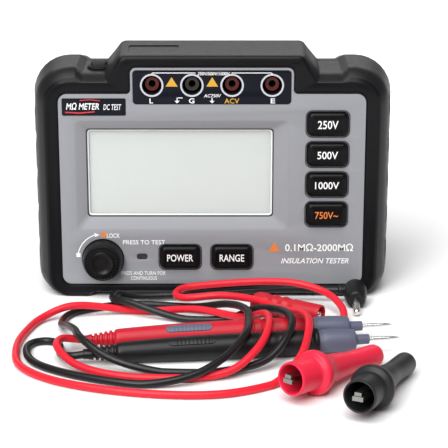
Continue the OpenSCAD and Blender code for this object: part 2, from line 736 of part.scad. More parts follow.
front_case();
rear_case();
face_panel();
jack_panel();
name_plate();
lcd_window();
lcd_module();
backlight();
main_board();
transformer();
capacitors();
keypad_mat();
led_lens();
jack(0, RED);  // jack_l
jack(1, BLACK);  // jack_g
jack(2, RED);  // jack_acv
jack(3, RED);  // jack_e
contact(0);  // contact_l
contact(1);  // contact_g
contact(2);  // contact_acv
contact(3);  // contact_e
test_switch();
knob_plunger();
test_knob();
button(0);  // button_250
button(1);  // button_500
button(2);  // button_1000
button(3);  // button_750
button(4);  // button_power
button(5);  // button_range
battery_tray();
battery_contacts();
batteries();
battery_cover();
cover_screws();
case_screws();
bottom_feet();
adaptor_socket();
adaptor_cap();
red_lead();
black_lead();
red_plug();
black_plug();
red_plug_pin();
black_plug_pin();
color(RED) probe_handle(red_probe_at);  // red_probe_handle
color(BLACK) probe_handle(black_probe_at);  // black_probe_handle
probe_guard(red_probe_at);  // red_probe_guard
probe_guard(black_probe_at);  // black_probe_guard
probe_tip(red_probe_at);  // red_probe_tip
probe_tip(black_probe_at);  // black_probe_tip
color(RED) clip_boot(red_clip_at, red_clip_turn);  // red_clip_boot
color(BLACK) clip_boot(black_clip_at, black_clip_turn);  // black_clip_boot
lower_jaw(red_clip_at, red_clip_turn);  // red_clip_lower_jaw
lower_jaw(black_clip_at, black_clip_turn);  // black_clip_lower_jaw
upper_jaw(red_clip_at, red_clip_turn);  // red_clip_upper_jaw
upper_jaw(black_clip_at, black_clip_turn);  // black_clip_upper_jaw
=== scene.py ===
import json
import math
import bpy
import bmesh
from mathutils import Matrix, Vector

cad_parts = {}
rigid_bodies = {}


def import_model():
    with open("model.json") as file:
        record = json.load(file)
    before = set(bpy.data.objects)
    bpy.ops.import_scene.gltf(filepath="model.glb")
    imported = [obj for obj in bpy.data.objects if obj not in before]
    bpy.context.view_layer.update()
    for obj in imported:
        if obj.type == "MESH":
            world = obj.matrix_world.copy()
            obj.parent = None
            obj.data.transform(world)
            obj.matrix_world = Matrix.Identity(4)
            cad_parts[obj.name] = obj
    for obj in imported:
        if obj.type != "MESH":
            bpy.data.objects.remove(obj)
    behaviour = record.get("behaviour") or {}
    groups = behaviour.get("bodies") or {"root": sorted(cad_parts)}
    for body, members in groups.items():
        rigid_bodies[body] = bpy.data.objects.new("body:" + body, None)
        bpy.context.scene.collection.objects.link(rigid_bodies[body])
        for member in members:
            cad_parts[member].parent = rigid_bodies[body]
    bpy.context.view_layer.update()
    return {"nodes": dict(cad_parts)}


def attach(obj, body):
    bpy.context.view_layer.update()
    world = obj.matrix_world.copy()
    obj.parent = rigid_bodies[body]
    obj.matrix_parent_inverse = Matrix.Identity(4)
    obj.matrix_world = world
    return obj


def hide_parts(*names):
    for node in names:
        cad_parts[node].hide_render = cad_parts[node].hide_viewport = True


# The scene starts empty, so that no default object counts in the bounds
for old in list(bpy.data.objects):
    bpy.data.objects.remove(old, do_unlink=True)

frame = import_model()
NODES = frame["nodes"]
SCENE = bpy.context.scene
# Outlines and profiles are in millimetres, and mesh_object turns them into metres
MM = 0.001
# Radius at which a turned profile closes on its axis
AXIS = 0.02

# ---------------------------------------------------------------- camera

cam_data = bpy.data.cameras.new("camera")
cam_data.sensor_width = 36
cam_data.lens = 130.2
camera = bpy.data.objects.new("camera", cam_data)
camera.location = (0.0065, -0.8997, 0.3058)
camera.rotation_euler = (math.radians(73), 0, 0)
SCENE.collection.objects.link(camera)
SCENE.camera = camera
SCENE.view_settings.view_transform = "Standard"

# ---------------------------------------------------------------- materials

ROUGH_VARY = 0.06  # unevenness of the roughness, to each side


def material(name, color, rough=0.4, spec=0.5, metal=0.0, grain=0.0, grain_scale=2500.0, vary=0.08,
             vary_scale=60.0, coat=0.0, wave=0.0, wave_scale=300.0, alpha=1.0, scratches=0.0):
    """A finish with broad colour change, uneven roughness and up to three layers of fine relief."""
    mat = bpy.data.materials.new(name)
    mat.use_nodes = True
    nodes, links = mat.node_tree.nodes, mat.node_tree.links
    shader = nodes["Principled BSDF"]
    shader.inputs["Metallic"].default_value = metal
    shader.inputs["Specular IOR Level"].default_value = spec
    if coat:
        shader.inputs["Coat Weight"].default_value = coat
        shader.inputs["Coat Roughness"].default_value = 0.12
    if alpha < 1:
        shader.inputs["Alpha"].default_value = alpha
    place = nodes.new("ShaderNodeTexCoord").outputs["Object"]

    def texture(kind, scale, detail=None, vector=place):
        node = nodes.new(kind)
        node.inputs["Scale"].default_value = scale
        if detail:
            node.inputs["Detail"].default_value = detail
        links.new(vector, node.inputs["Vector"])
        return node.outputs["Fac"]

    tint = nodes.new("ShaderNodeMixRGB")
    tint.inputs["Color1"].default_value = (*[max(0, c * (1 - vary)) for c in color], 1)
    tint.inputs["Color2"].default_value = (*[min(1, c * (1 + vary)) for c in color], 1)
    links.new(texture("ShaderNodeTexNoise", vary_scale, 6), tint.inputs["Fac"])
    links.new(tint.outputs["Color"], shader.inputs["Base Color"])
    spread = nodes.new("ShaderNodeMapRange")
    spread.inputs["To Min"].default_value = max(0.02, rough - ROUGH_VARY)
    spread.inputs["To Max"].default_value = min(1, rough + ROUGH_VARY)
    links.new(texture("ShaderNodeTexNoise", vary_scale * 4, 4), spread.inputs["Value"])
    links.new(spread.outputs["Result"], shader.inputs["Roughness"])

    layers = []
    if grain:
        layers.append((texture("ShaderNodeTexNoise", grain_scale, 3), grain, 0.0002))
    if wave:
        layers.append((texture("ShaderNodeTexWave", wave_scale), wave, 0.0002))
    if scratches:
        stretch = nodes.new("ShaderNodeMapping")
        stretch.inputs["Scale"].default_value = (1, 1, 0.06)
        links.new(place, stretch.inputs["Vector"])
        lines = texture("ShaderNodeTexNoise", 700, 2, stretch.outputs["Vector"])
        layers.append((lines, scratches, 0.0001))
    normal = None
    for height, strength, distance in layers:
        bump = nodes.new("ShaderNodeBump")
        bump.inputs["Strength"].default_value = strength
        bump.inputs["Distance"].default_value = distance
        links.new(height, bump.inputs["Height"])
        if normal:
            links.new(normal, bump.inputs["Normal"])
        normal = bump.outputs["Normal"]
    if normal:
        links.new(normal, shader.inputs["Normal"])
    return mat


M = {
    "case": material("case_black", (0.0065, 0.0065, 0.0075), 0.42, 0.27, grain=0.35, grain_scale=2600,
                     vary=0.25),
    # Copy of the case finish for faces that look to the front: glossier, and its darker colour and weaker
    # specular are painted shade on the front
    "case_front_gloss_and_shade": material("case_gloss_painted_shade", (0.005, 0.005, 0.006), 0.34, 0.14, grain=0.06, grain_scale=1800,
                          vary=0.2),
    "grey": material("panel_grey", (0.262, 0.27, 0.288), 0.42, 0.3, grain=0.16, grain_scale=3400,
                     vary=0.025, vary_scale=25),
    "bezel": material("bezel_grey", (0.262, 0.27, 0.288), 0.45, 0.3, grain=0.12, grain_scale=3400,
                      vary=0.02),
    "plate": material("plate_black", (0.005, 0.006, 0.011), 0.22, 0.12, grain=0.03, vary=0.2),
    "button": material("button_black", (0.003, 0.003, 0.0035), 0.3, 0.14, grain=0.1, grain_scale=3000,
                       vary=0.2),
    "knob": material("knob_black", (0.004, 0.004, 0.0045), 0.34, 0.2, grain=0.15, grain_scale=3000,
                     vary=0.2),
    "white": material("print_white", (0.86, 0.86, 0.86), 0.5, 0.3, vary=0.03, vary_scale=900),
    "ring": material("print_ring", (0.5, 0.51, 0.56), 0.45, 0.3, vary=0.04, vary_scale=900),
    "amber": material("print_amber", (0.6, 0.33, 0.035), 0.5, 0.3, vary=0.05, vary_scale=900),
    "orange": material("print_orange", (0.68, 0.2, 0.045), 0.5, 0.3, vary=0.05, vary_scale=900),
    "accent": material("print_red", (0.6, 0.03, 0.04), 0.4, 0.3, vary=0.08, vary_scale=900),
    # Dark finish for the display seal and the rings round the buttons; on the button rings its lap over the
    # grey face is painted shade
    "gasket_and_shade": material("gasket_dark_and_painted_shade", (0.035, 0.036, 0.04), 0.6, 0.3, grain=0.1, vary=0.1),
    "display": material("display_film", (0.62, 0.66, 0.64), 0.55, 0.2, vary=0.012, vary_scale=18),
    "glass": material("display_glass", (0.8, 0.82, 0.82), 0.08, 0.4, vary=0.01, alpha=0.12),
    "rim": material("display_rim", (0.83, 0.85, 0.85), 0.35, 0.4, vary=0.02),
    "board": material("board_green", (0.02, 0.12, 0.05), 0.35, 0.5, grain=0.2, grain_scale=900, vary=0.3,
                      vary_scale=200, wave=0.3, wave_scale=160),
    "iron": material("core_iron", (0.22, 0.19, 0.17), 0.45, 0.5, metal=0.7, wave=0.8, wave_scale=900,
                     vary=0.15),
    "can": material("can_sleeve", (0.02, 0.03, 0.12), 0.3, 0.5, vary=0.2, grain=0.1),
    "mat": material("mat_rubber", (0.02, 0.02, 0.022), 0.45, 0.4, grain=0.2),
    "lens": material("lens_dark", (0.02, 0.008, 0.008), 0.15, 0.5, coat=0.5, vary=0.2),
    "socket_red": material("socket_red", (0.13, 0.003, 0.006), 0.35, 0.3, grain=0.05, vary=0.1),
    "socket_black": material("socket_black", (0.015, 0.015, 0.016), 0.35, 0.45, grain=0.05, vary=0.1),
    # The contacts' colour is painted dark: it is painted shade inside the sockets, not the metal's own tone
    "brass_in_painted_shade": material("contact_brass", (0.1, 0.075, 0.045), 0.4, 0.5, metal=0.95, vary=0.1, scratches=0.2),
    "inner": material("inner_plastic", (0.03, 0.03, 0.033), 0.5, 0.4, grain=0.2, vary=0.15),
    "spring": material("spring_steel", (0.6, 0.6, 0.6), 0.3, 0.5, metal=0.95, vary=0.08, scratches=0.2),
    "cell": material("cell_jacket", (0.5, 0.33, 0.08), 0.28, 0.5, metal=0.45, vary=0.12, wave=0.1,
                     wave_scale=40),
    "screw": material("screw_steel", (0.45, 0.45, 0.46), 0.32, 0.5, metal=0.95, vary=0.12, scratches=0.3),
    "rubber": material("soft_rubber", (0.012, 0.012, 0.013), 0.62, 0.35, grain=0.4, grain_scale=2200,
                       vary=0.25),
    "red_cord": material("cord_red", (0.66, 0.014, 0.03), 0.36, 0.25, grain=0.12, grain_scale=1200,
                         vary=0.08, vary_scale=90),
    "black_cord": material("cord_black", (0.009, 0.009, 0.01), 0.34, 0.28, grain=0.12, grain_scale=1200,
                           vary=0.2, vary_scale=90),
    "red_plug": material("plug_red", (0.45, 0.009, 0.02), 0.4, 0.3, grain=0.12, vary=0.1),
    "red_handle": material("handle_red", (0.47, 0.009, 0.022), 0.42, 0.28, grain=0.14, vary=0.1),
    "black_handle": material("handle_black", (0.007, 0.007, 0.008), 0.38, 0.26, grain=0.14, vary=0.2),
    "slate": material("guard_slate", (0.095, 0.102, 0.15), 0.38, 0.3, grain=0.12, vary=0.08),
    "jaw": material("jaw_steel", (0.3, 0.29, 0.28), 0.34, 0.5, metal=1.0, vary=0.2, scratches=0.4),
    "pin": material("pin_nickel", (0.7, 0.69, 0.67), 0.22, 0.5, metal=1.0, vary=0.06, scratches=0.25),
    "red_boot": material("boot_red", (0.74, 0.02, 0.055), 0.4, 0.28, grain=0.1, grain_scale=900, vary=0.05),
    "black_boot": material("boot_black", (0.014, 0.014, 0.015), 0.44, 0.3, grain=0.14, grain_scale=900,
                           vary=0.15),
}

# ---------------------------------------------------------------- mesh tools


def finish_mesh(name, data, angle=32):
    for p in data.polygons:
        p.use_smooth = True
    data.set_sharp_from_angle(angle=math.radians(angle))
    obj = bpy.data.objects.new(name, data)
    SCENE.collection.objects.link(obj)
    return obj


def cleaned(data, merge):
    """Merges doubled points and turns every face outwards."""
    bm = bmesh.new()
    bm.from_mesh(data)
    bmesh.ops.remove_doubles(bm, verts=bm.verts, dist=merge)
    bmesh.ops.recalc_face_normals(bm, faces=bm.faces)
    bm.to_mesh(data)
    bm.free()


def mesh_object(name, verts, faces, angle=32, scale=MM):
    data = bpy.data.meshes.new(name)
    data.from_pydata([tuple(c * scale for c in v) for v in verts], [], faces)
    data.validate()
    cleaned(data, 1e-7)
    return finish_mesh(name, data, angle)


def dress(obj, key, node=None, body="case", where=None):
    """Places a piece, gives it a finish, and says what it rides on and replaces."""
    if where:
        obj.data.transform(where)
        obj.data.update()
    obj.data.materials.clear()
    obj.data.materials.append(M[key])
    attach(obj, body)
    if node:
        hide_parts(node)
    return obj


def loft(rings, cap_start=False, cap_end=False, closed=True):
    """Vertices and faces of a skin over rings that have the same number of points."""
    verts, faces = [], []
    n = len(rings[0])
    for ring in rings:
        verts.extend(ring)
    for i in range(len(rings) - 1):
        for k in range(n if closed else n - 1):
            a, b = i * n + k, i * n + (k + 1) % n
            faces.append((a, b, b + n, a + n))
    if cap_start:
        faces.append(tuple(reversed(range(n))))
    if cap_end:
        last = (len(rings) - 1) * n
        faces.append(tuple(last + k for k in range(n)))
    return verts, faces


def join(parts):
    verts, faces = [], []
    for v, f in parts:
        base = len(verts)
        verts.extend(v)
        faces.extend(tuple(i + base for i in face) for face in f)
    return verts, faces


# Share of a straight run that one arc may use: more at radii above BIG_R, as on the bumper corners
BIG_R, BIG_SHARE, SMALL_SHARE = 8, 0.86, 0.45


def fillet(keys, steps=5, divide=4):
    """Open outline through keys (x, z, radius): each inner corner becomes an arc of steps + 1 points,
    and each straight run between arcs is divided, so every outline has the same number of points."""
    pts = [Vector((k[0], k[1])) for k in keys]
    corners = []
    for i in range(1, len(keys) - 1):
        p, before, after = pts[i], pts[i - 1] - pts[i], pts[i + 1] - pts[i]
        u, v = before.normalized(), after.normalized()
        turn = u.angle(v)
        if turn > math.pi - 0.02:
            reach = min(keys[i][2] + 0.2, before.length * 0.3, after.length * 0.3)
            corners.append([p + u * reach * (1 - 2 * j / steps) if j * 2 <= steps
                            else p + v * reach * (2 * j / steps - 1) for j in range(steps + 1)])
            continue
        r = max(keys[i][2], 0.05)
        share = BIG_SHARE if r > BIG_R else SMALL_SHARE
        reach = min(r / math.tan(turn / 2), before.length * share, after.length * share)
        r = reach * math.tan(turn / 2)
        centre = p + (u + v).normalized() * (r / math.sin(turn / 2))
        a, b = p + u * reach - centre, p + v * reach - centre
        arc = []
        whole = math.atan2(a.x * b.y - a.y * b.x, a.dot(b))
        for j in range(steps + 1):
            t = whole * j / steps
            arc.append(centre + Matrix.Rotation(t, 2) @ a)
        corners.append(arc)
    line = [pts[0]]
    for arc in corners + [[pts[-1]]]:
        start = line[-1]
        for j in range(1, divide):
            line.append(start.lerp(arc[0], j / divide))
        line.extend(arc)
    return [(p.x, p.y) for p in line]


def mirrored(half):
    """Closed outline from its right half, which runs from the bottom centre to the top centre."""
    return half + [(-x, z) for x, z in reversed(half[1:-1])]


def ring_at(outline, y):
    return [(x, y, z) for x, z in outline]


def between(a, b, t):
    """The outline that lies a fraction t of the way from a to b."""
    return [(p[0] + (q[0] - p[0]) * t, p[1] + (q[1] - p[1]) * t) for p, q in zip(a, b)]


def rounded(x0, x1, z0, z1, r, n=7):
    """A rectangle with round corners."""
    pts = []
    corners = ((x1 - r, z0 + r, -90), (x1 - r, z1 - r, 0), (x0 + r, z1 - r, 90), (x0 + r, z0 + r, 180))
    for cx, cz, start in corners:
        for j in range(n + 1):
            a = math.radians(start + 90 * j / n)
            pts.append((cx + r * math.cos(a), cz + r * math.sin(a)))
    return pts


def circle(x, z, r, n=48):
    return [(x + r * math.cos(2 * math.pi * k / n), z + r * math.sin(2 * math.pi * k / n)) for k in range(n)]


def plate(name, loops, y_front, thick, bevel=0.25, angle=32):
    """A flat plate that faces the front. The first closed outline is its edge, the others are holes."""
    curve = bpy.data.curves.new(name, "CURVE")
    curve.dimensions = "2D"
    curve.fill_mode = "BOTH"
    curve.extrude = (thick / 2 - bevel) * MM
    curve.bevel_depth = bevel * MM
    curve.bevel_resolution = 2
    curve.offset = -bevel * MM
    for outline in loops:
        spline = curve.splines.new("POLY")
        spline.points.add(len(outline) - 1)
        for point, (x, z) in zip(spline.points, outline):
            point.co = (x * MM, z * MM, 0, 1)
        spline.use_cyclic_u = True
    data = curve_mesh(name, curve)
    upright = Matrix.Rotation(math.radians(90), 4, "X")
    data.transform(Matrix.Translation((0, (y_front + thick / 2) * MM, 0)) @ upright)
    cleaned(data, 1e-6)
    return finish_mesh(name, data, angle)


def curve_mesh(name, curve):
    """The mesh of a curve or text, which is then removed."""
    temp = bpy.data.objects.new(name + "_curve", curve)
    SCENE.collection.objects.link(temp)
    data = bpy.data.meshes.new_from_object(temp.evaluated_get(bpy.context.evaluated_depsgraph_get()))
    bpy.data.objects.remove(temp, do_unlink=True)
    bpy.data.curves.remove(curve)
    data.name = name
    return data


def lathe(profile, sides=56, closed=False):
    """Verts and faces round the Z axis from (radius, height) pairs. A closed profile makes a ring."""
    angles = [2 * math.pi * k / sides for k in range(sides)]
    rings = [[(r * math.cos(a), r * math.sin(a), z) for a in angles] for r, z in profile]
    if closed:
        return loft(rings + [rings[0]])
    return loft(rings, cap_start=True, cap_end=True)


def turned(name, profile, sides, key, node=None, where=None, angle=40):
    """A piece turned round its axis and then placed on the case body."""
    return dress(mesh_object(name, *lathe(profile, sides), angle), key, node, where=where)


def smooth_profile(points, steps=4):
    """A rounded line through (radius, height) pairs."""
    out = []
    for i in range(len(points) - 1):
        p0, p1, p2 = points[max(i - 1, 0)], points[i], points[i + 1]
        p3 = points[min(i + 2, len(points) - 1)]
        for k in range(steps):
            t = k / steps
            out.append(tuple(0.5 * (2 * b + (c - a) * t + (2 * a - 5 * b + 4 * c - d) * t * t
                                    + (3 * b - a - 3 * c + d) * t ** 3)
                             for a, b, c, d in zip(p0, p1, p2, p3)))
    out.append(points[-1])
    return [(max(r, AXIS), z) for r, z in out]


def round_end(r_across, r_along):
    """Profile of a round end that reaches its full radius at height 0."""
    angles = [math.radians(a) for a in range(-86, 1, 9)]
    return [(r_across * math.cos(a), r_along * math.sin(a)) for a in angles]


def aim(at, turn, pitch):
    """The placement that lays an upright piece down, turned from +X and pitched up."""
    return (Matrix.Translation([c * MM for c in at]) @ Matrix.Rotation(math.radians(turn), 4, "Z")
            @ Matrix.Rotation(math.radians(90 - pitch), 4, "Y"))


def facing(x, z):
    """The placement that lays an upright axis along +Y at a point of the face."""
    return Matrix.Translation((x * MM, 0, z * MM)) @ Matrix.Rotation(math.radians(-90), 4, "X")


def bevelled(obj, width, segments=2):
    mod = obj.modifiers.new("soft_edges", "BEVEL")
    mod.width = width * MM
    mod.segments = segments
    mod.limit_method = "ANGLE"
    mod.angle_limit = math.radians(40)
    mod.use_clamp_overlap = True


def cut(obj, cutters):
    """Cuts closed solids out of a shell."""
    tool = mesh_object(obj.name + "_tool", *join(cutters))
    mod = obj.modifiers.new("cut", "BOOLEAN")
    mod.operation = "DIFFERENCE"
    mod.solver = "EXACT"
    mod.object = tool
    data = bpy.data.meshes.new_from_object(obj.evaluated_get(bpy.context.evaluated_depsgraph_get()))
    obj.modifiers.clear()
    obj.data = data
    for p in data.polygons:
        p.use_smooth = True
    data.set_sharp_from_angle(angle=math.radians(32))
    bpy.data.objects.remove(tool, do_unlink=True)


def side_pocket(x0, x1, y0, y1, z0, z1, r=1.6, steps=5):
    """A box along X with round corners in its side view."""
    outline = []
    corners = ((y1 - r, z0 + r, -90), (y1 - r, z1 - r, 0), (y0 + r, z1 - r, 90), (y0 + r, z0 + r, 180))
    for cy, cz, start in corners:
        for j in range(steps + 1):
            a = math.radians(start + 90 * j / steps)
            outline.append((cy + r * math.cos(a), cz + r * math.sin(a)))
    return loft([[(x, y, z) for y, z in outline] for x in (x0, x1)], True, True)


def prism(outline, y0, y1):
    """A solid along Y from an outline in the face plane."""
    return loft([ring_at(outline, y0), ring_at(outline, y1)], True, True)


def column(outline, z0, z1):
    """An upright solid from an outline in the top view."""
    return loft([[(x, y, z) for x, y in outline] for z in (z0, z1)], True, True)


# ---------------------------------------------------------------- leads

LEAD_D = 4.0
# The same points as the CAD routes, from each probe handle to its plug
RED_ROUTE = [(-64, -121.5, 5.6), (-70, -121.8, 6.3), (-76, -126, 8.2), (-77.5, -138, 8.5), (-67, -151, 4),
             (-38, -162.5, 2), (8, -161, 4), (23, -150, 12), (29, -134, 17.2), (28, -114, 17.2), (16, -94, 8),
             (-8, -78, 6.5), (-38, -68, 2), (-76, -74, 7), (-91, -81, 3), (-98, -100, 2), (-100, -124, 2),
             (-95, -148, 2), (-76, -167, 2), (-36, -182, 2), (4, -184, 2), (30, -172, 2), (44, -156, 10),
             (49, -138, 17.8), (48, -116, 17.8), (38, -96, 13), (22, -80, 13), (4, -71, 12), (-10, -68.7, 10),
             (-17, -65.8, 9), (-20, -58.7, 8.5), (-17, -51.6, 9), (-10, -48.7, 9.5), (44, -51, 12.5),
             (64, -61, 9), (71, -80, 5), (65, -96, 2.5), (33, -100, 2), (20, -94, 3), (21.5, -83, 6.5)]
BLACK_ROUTE = [(-64, -141, 5.4), (-70, -140.6, 4.5), (-75.8, -136, 3.5), (-77.5, -123, 2.5),
               (-79.8, -116.2, 2),
               (-86, -113.5, 2), (-92.2, -116.2, 2), (-94.5, -123, 2), (-90, -141, 2), (-72, -157, 2),
               (-34, -171.5, 2), (-8, -168, 5.5), (8, -156, 11), (17, -142, 16.4), (19, -124, 16.6),
               (18, -104, 16), (8, -82, 11), (-10, -67, 4), (-46, -57.5, 2), (-76, -72, 2), (-80, -90, 3),
               (-75, -107, 8), (-70, -123, 12), (-65, -139, 13.2), (-51, -150, 7.5), (-24, -156, 2),
               (6, -156, 2.5), (28, -149, 6), (39, -137, 15), (41, -121, 17.5), (35, -103, 15.5),
               (23, -92, 12),
               (10, -84, 4), (-14, -81, 2), (-45, -71, 8), (-54, -64, 7.5), (-53, -54, 7), (-42, -48.5, 3.5),
               (38, -45, 6.5), (70, -48, 6.9)]


def slope(p0, p1, p2):
    """Slope of the smooth curve at p1, whose neighbours may lie unevenly."""
    a, b = math.sqrt((p1 - p0).length), math.sqrt((p2 - p1).length)
    return (p1 - p0) / a - (p2 - p0) / (a + b) + (p2 - p1) / b


def smooth_route(route, steps):
    pts = [Vector(p) for p in route]
    pts = [2 * pts[0] - pts[1]] + pts + [2 * pts[-1] - pts[-2]]
    out = []
    for i in range(1, len(pts) - 2):
        w = math.sqrt((pts[i + 1] - pts[i]).length)
        m1, m2 = w * slope(pts[i - 1], pts[i], pts[i + 1]), w * slope(pts[i], pts[i + 1], pts[i + 2])
        for k in range(steps):
            t = k / steps
            p = ((2 * t ** 3 - 3 * t * t + 1) * pts[i] + (t ** 3 - 2 * t * t + t) * m1
                 + (3 * t * t - 2 * t ** 3) * pts[i + 1] + (t ** 3 - t * t) * m2)
            out.append(Vector((p.x, p.y, max(LEAD_D / 2, p.z))))
    out.append(pts[-2])
    return out


def lead(name, route, finish, node):
    """A lead as one open curve, and its length in metres."""
    path = smooth_route(route, 10)
    curve = bpy.data.curves.new(name, "CURVE")
    curve.dimensions = "3D"
    curve.bevel_depth = LEAD_D / 2 * MM
    curve.bevel_resolution = 5
    curve.use_fill_caps = True
    curve.twist_mode = "MINIMUM"
    spline = curve.splines.new("POLY")
    spline.points.add(len(path) - 1)
    for point, p in zip(spline.points, path):
        point.co = (*(p * MM), 1)
    spline.use_smooth = True
    obj = bpy.data.objects.new(name, curve)
    SCENE.collection.objects.link(obj)
    curve.materials.append(M[finish])
    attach(obj, "case")
    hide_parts(node)
    return obj, sum((b - a).length for a, b in zip(path, path[1:])) * MM


red_lead, RED_LENGTH = lead("red_lead_wire", RED_ROUTE, "red_cord", "red_lead")
black_lead, BLACK_LENGTH = lead("black_lead_wire", BLACK_ROUTE, "black_cord", "black_lead")

# ---------------------------------------------------------------- probes

PROBE_TURN, PROBE_PITCH = 6.1, 0.9
HANDLE_L = 101.0
RELIEF_RIBS = 5
GROOVES = (70, 75, 80)


def handle_profile():
    """Strain relief with ribs, tapered handle with three grooves, and the finger ring."""
    profile = [(AXIS, -17.4), (2.3, -17.4), (2.5, -17.1), (2.6, -15), (2.75, -14.6)]
    for k in range(RELIEF_RIBS):
        s, r = -13.6 + k * 2.6, 2.9 + k * 0.36
        profile += [(r, s), (r + 0.12, s + 0.25), (r + 0.12, s + 1.15), (r, s + 1.4),
                    (r - 0.75, s + 1.6), (r - 0.75, s + 2.3)]
    profile += [(4.5, -0.4), (4.9, 0.2), (5.1, 1.5)]
    profile += smooth_profile([(5.2, 3), (5.6, 12), (6.05, 24), (6.4, 38), (6.5, 50), (6.5, 66)])
    for s in GROOVES:
        profile += [(6.5, s), (6.45, s + 0.2), (6.1, s + 0.5), (6.1, s + 1.1), (6.45, s + 1.4),
                    (6.5, s + 1.6)]
    ring = [(6.35, -8), (6.05, -4), (5.95, -2.4), (6.3, -1.9), (6.95, -1.5), (7.2, -0.9), (7.2, 0.2),
            (6.95, 0.8), (6.2, 1)]
    return profile + [(6.5, 88)] + [(r, HANDLE_L + s) for r, s in ring] + [(AXIS, HANDLE_L + 1)]


def guard_profile():
    """Stepped guard in front of the finger ring, with a thin nose round the tip."""
    steps = [(AXIS, 0), (5.4, 0), (5.65, 0.3), (5.65, 1.6), (5.9, 1.9), (6.1, 2.6), (6.15, 5), (6.1, 9),
             (5.85, 14), (5.55, 17.8), (5.35, 18.5), (4.7, 19.1), (3.2, 19.5), (2.75, 19.9), (2.6, 21),
             (2.55, 25.6), (2.4, 26.2), (1.5, 26.5), (1.1, 26.5), (1.1, 22), (AXIS, 22)]
    return [(r, HANDLE_L + 1 + s) for r, s in steps]


def tip_profile():
    steps = [(AXIS, 18), (1, 18), (1, 38), (0.9, 39.4), (0.55, 41.4), (0.22, 42.9), (AXIS, 43)]
    return [(r, HANDLE_L + s) for r, s in steps]


def grip_insert():
    """A raised pad on the upper front side of a handle, with small ridges and round ends."""
    start, length, straight, end = 25.5, 24, 9.6, 2.4
    rows = 60
    rings = []
    for i in range(rows + 1):
        s = start + length * i / rows
        past = abs(s - start - length / 2) - straight
        wide = math.sqrt(max(0.0004, 1 - min(1, past / end) ** 2)) if past > 0 else 1
        ridge = 0.16 * (0.5 + 0.5 * math.cos(2 * math.pi * i / 5)) if 5 < i < rows - 5 else 0
        base = 6.05 + 0.35 * min(1, max(0, (s - 24) / 14)) + (0.05 if s > 38 else 0)
        row = []
        for k in range(13):
            t = -1 + k / 6
            a = math.radians(180 - 34 + 25 * wide * t)
            r = base + (0.42 if abs(t) < 0.8 else -0.1) + (ridge if abs(t) < 0.7 else 0)
            row.append((r * math.cos(a), -r * math.sin(a), s))
        rings.append(row)
    return loft(rings, closed=False)


def probe(colour, at, insert_key):
    where = aim(at, PROBE_TURN, PROBE_PITCH)
    node = colour + "_probe_"
    pieces = [
        turned(colour + "_handle", handle_profile(), 64, colour + "_handle", node + "handle", where),
        turned(colour + "_guard", guard_profile(), 56, "slate", node + "guard", where),
        turned(colour + "_tip", tip_profile(), 28, "pin", node + "tip", where)]
    insert = mesh_object(colour + "_grip_insert", *grip_insert(), 50)
    return pieces + [dress(insert, insert_key, where=where)]


red_pieces = probe("red", (-49, -120, 5.7), "slate")
black_pieces = probe("black", (-47, -139, 5.7), "black_handle")

# ---------------------------------------------------------------- clips


def clip(colour, at, turn):
    """The boot of a clip, with its own new mesh, and the two jaws from the model."""
    outer = smooth_profile([(3.3, 0), (4.6, 0.35), (5.35, 1.4), (5.7, 3.2), (5.65, 10), (5.5, 20), (5.75, 26),
                            (6.3, 31), (6.7, 36), (7.2, 40), (8.2, 43.2), (9.9, 46.4), (10.8, 48.6)])
    flange = [(11, 49.6), (11, 50.6), (10.7, 51.6), (10, 52.3), (9, 52.6), (8.3, 53), (8.05, 53.8), (8, 55)]
    mouth = [(8.1, 60), (8.2, 64), (8.2, 66.6), (8.1, 67.4), (7.8, 67.9), (7.4, 68), (7.1, 67.8),
             (6.95, 67.2)]
    inner = [(6.9, 60), (6.9, 52), (6.3, 50), (6.2, 40), (6.2, 34.5), (5.6, 34), (2.1, 34), (2.1, 0.4),
             (2.4, 0)]
    boot = mesh_object(colour + "_boot", *lathe(outer + flange + mouth + inner, 72, closed=True), 45)
    dress(boot, colour + "_boot", colour + "_clip_boot", where=aim(at, turn, 6.3))
    jaws = [NODES[colour + "_clip_" + part + "_jaw"] for part in ("lower", "upper")]
    for jaw in jaws:
        bevelled(jaw, 0.18)
        jaw.data.materials.clear()
        jaw.data.materials.append(M["jaw"])
    return [boot] + jaws


red_pieces += clip("red", (83, -142, 5.6), 228)
# The black clip lies too far from its lead to be listed on it
clip("black", (97, -152, 5.6), 245)

# ---------------------------------------------------------------- plugs


def pin_profile(start, end, nose, bend):
    """A 4 mm pin whose rounded nose begins nose before its end, and bends in at bend before it."""
    steps = [(1.95, nose), (1.8, bend), (1.4, 0.3), (0.9, 0), (AXIS, 0)]
    return [(AXIS, start), (1.95, start)] + [(r, end - back) for r, back in steps]


def relief_profile(r0, r1, length, ribs):
    """A ribbed strain relief that widens from r0 to r1."""
    profile = [(AXIS, 0), (r0 - 0.3, 0), (r0, 0.3)]
    step = length * 0.75 / ribs
    for k in range(ribs):
        s = 0.8 + step * k
        r = r0 + (r1 - r0) * (k + 0.5) / ribs
        profile += [(r, s), (r, s + step * 0.55), (r - 0.45, s + step * 0.62), (r - 0.45, s + step * 0.95)]
    return profile + [(r1, length * 0.8), (r1, length), (AXIS, length)]


# Red plug: waved body and a deep shroud round its pin, which its lead enters from the side
plug_at = aim((26.5, -67.5, 6.5), -30, 0)
waves = smooth_profile([(5.95, 2), (5.8, 4.4), (5.15, 6.2), (5.95, 9), (5.2, 12.2), (5.9, 15), (5.15, 18.2),
                        (5.45, 21.5), (5.3, 26), (5.1, 34)])
shroud = [(5.08, 36.2), (4.95, 36.8), (4.6, 37), (4.1, 36.8), (3.95, 36.2), (3.9, 22), (3.6, 21), (1.7, 21),
          (AXIS, 21)]
red_pieces += [
    turned("red_plug_body", round_end(5.9, 5.9) + waves + shroud, 56, "red_plug", "red_plug",
           plug_at, 45),
    turned("red_plug_relief", relief_profile(2.6, 3.4, 12.5, 4), 40, "red_plug",
           where=aim((21.5, -83, 6.5), 74, 0)),
    turned("red_plug_contact", pin_profile(20.9, 36.5, 2.3, 1.3), 32, "pin", "red_plug_pin",
           plug_at)]

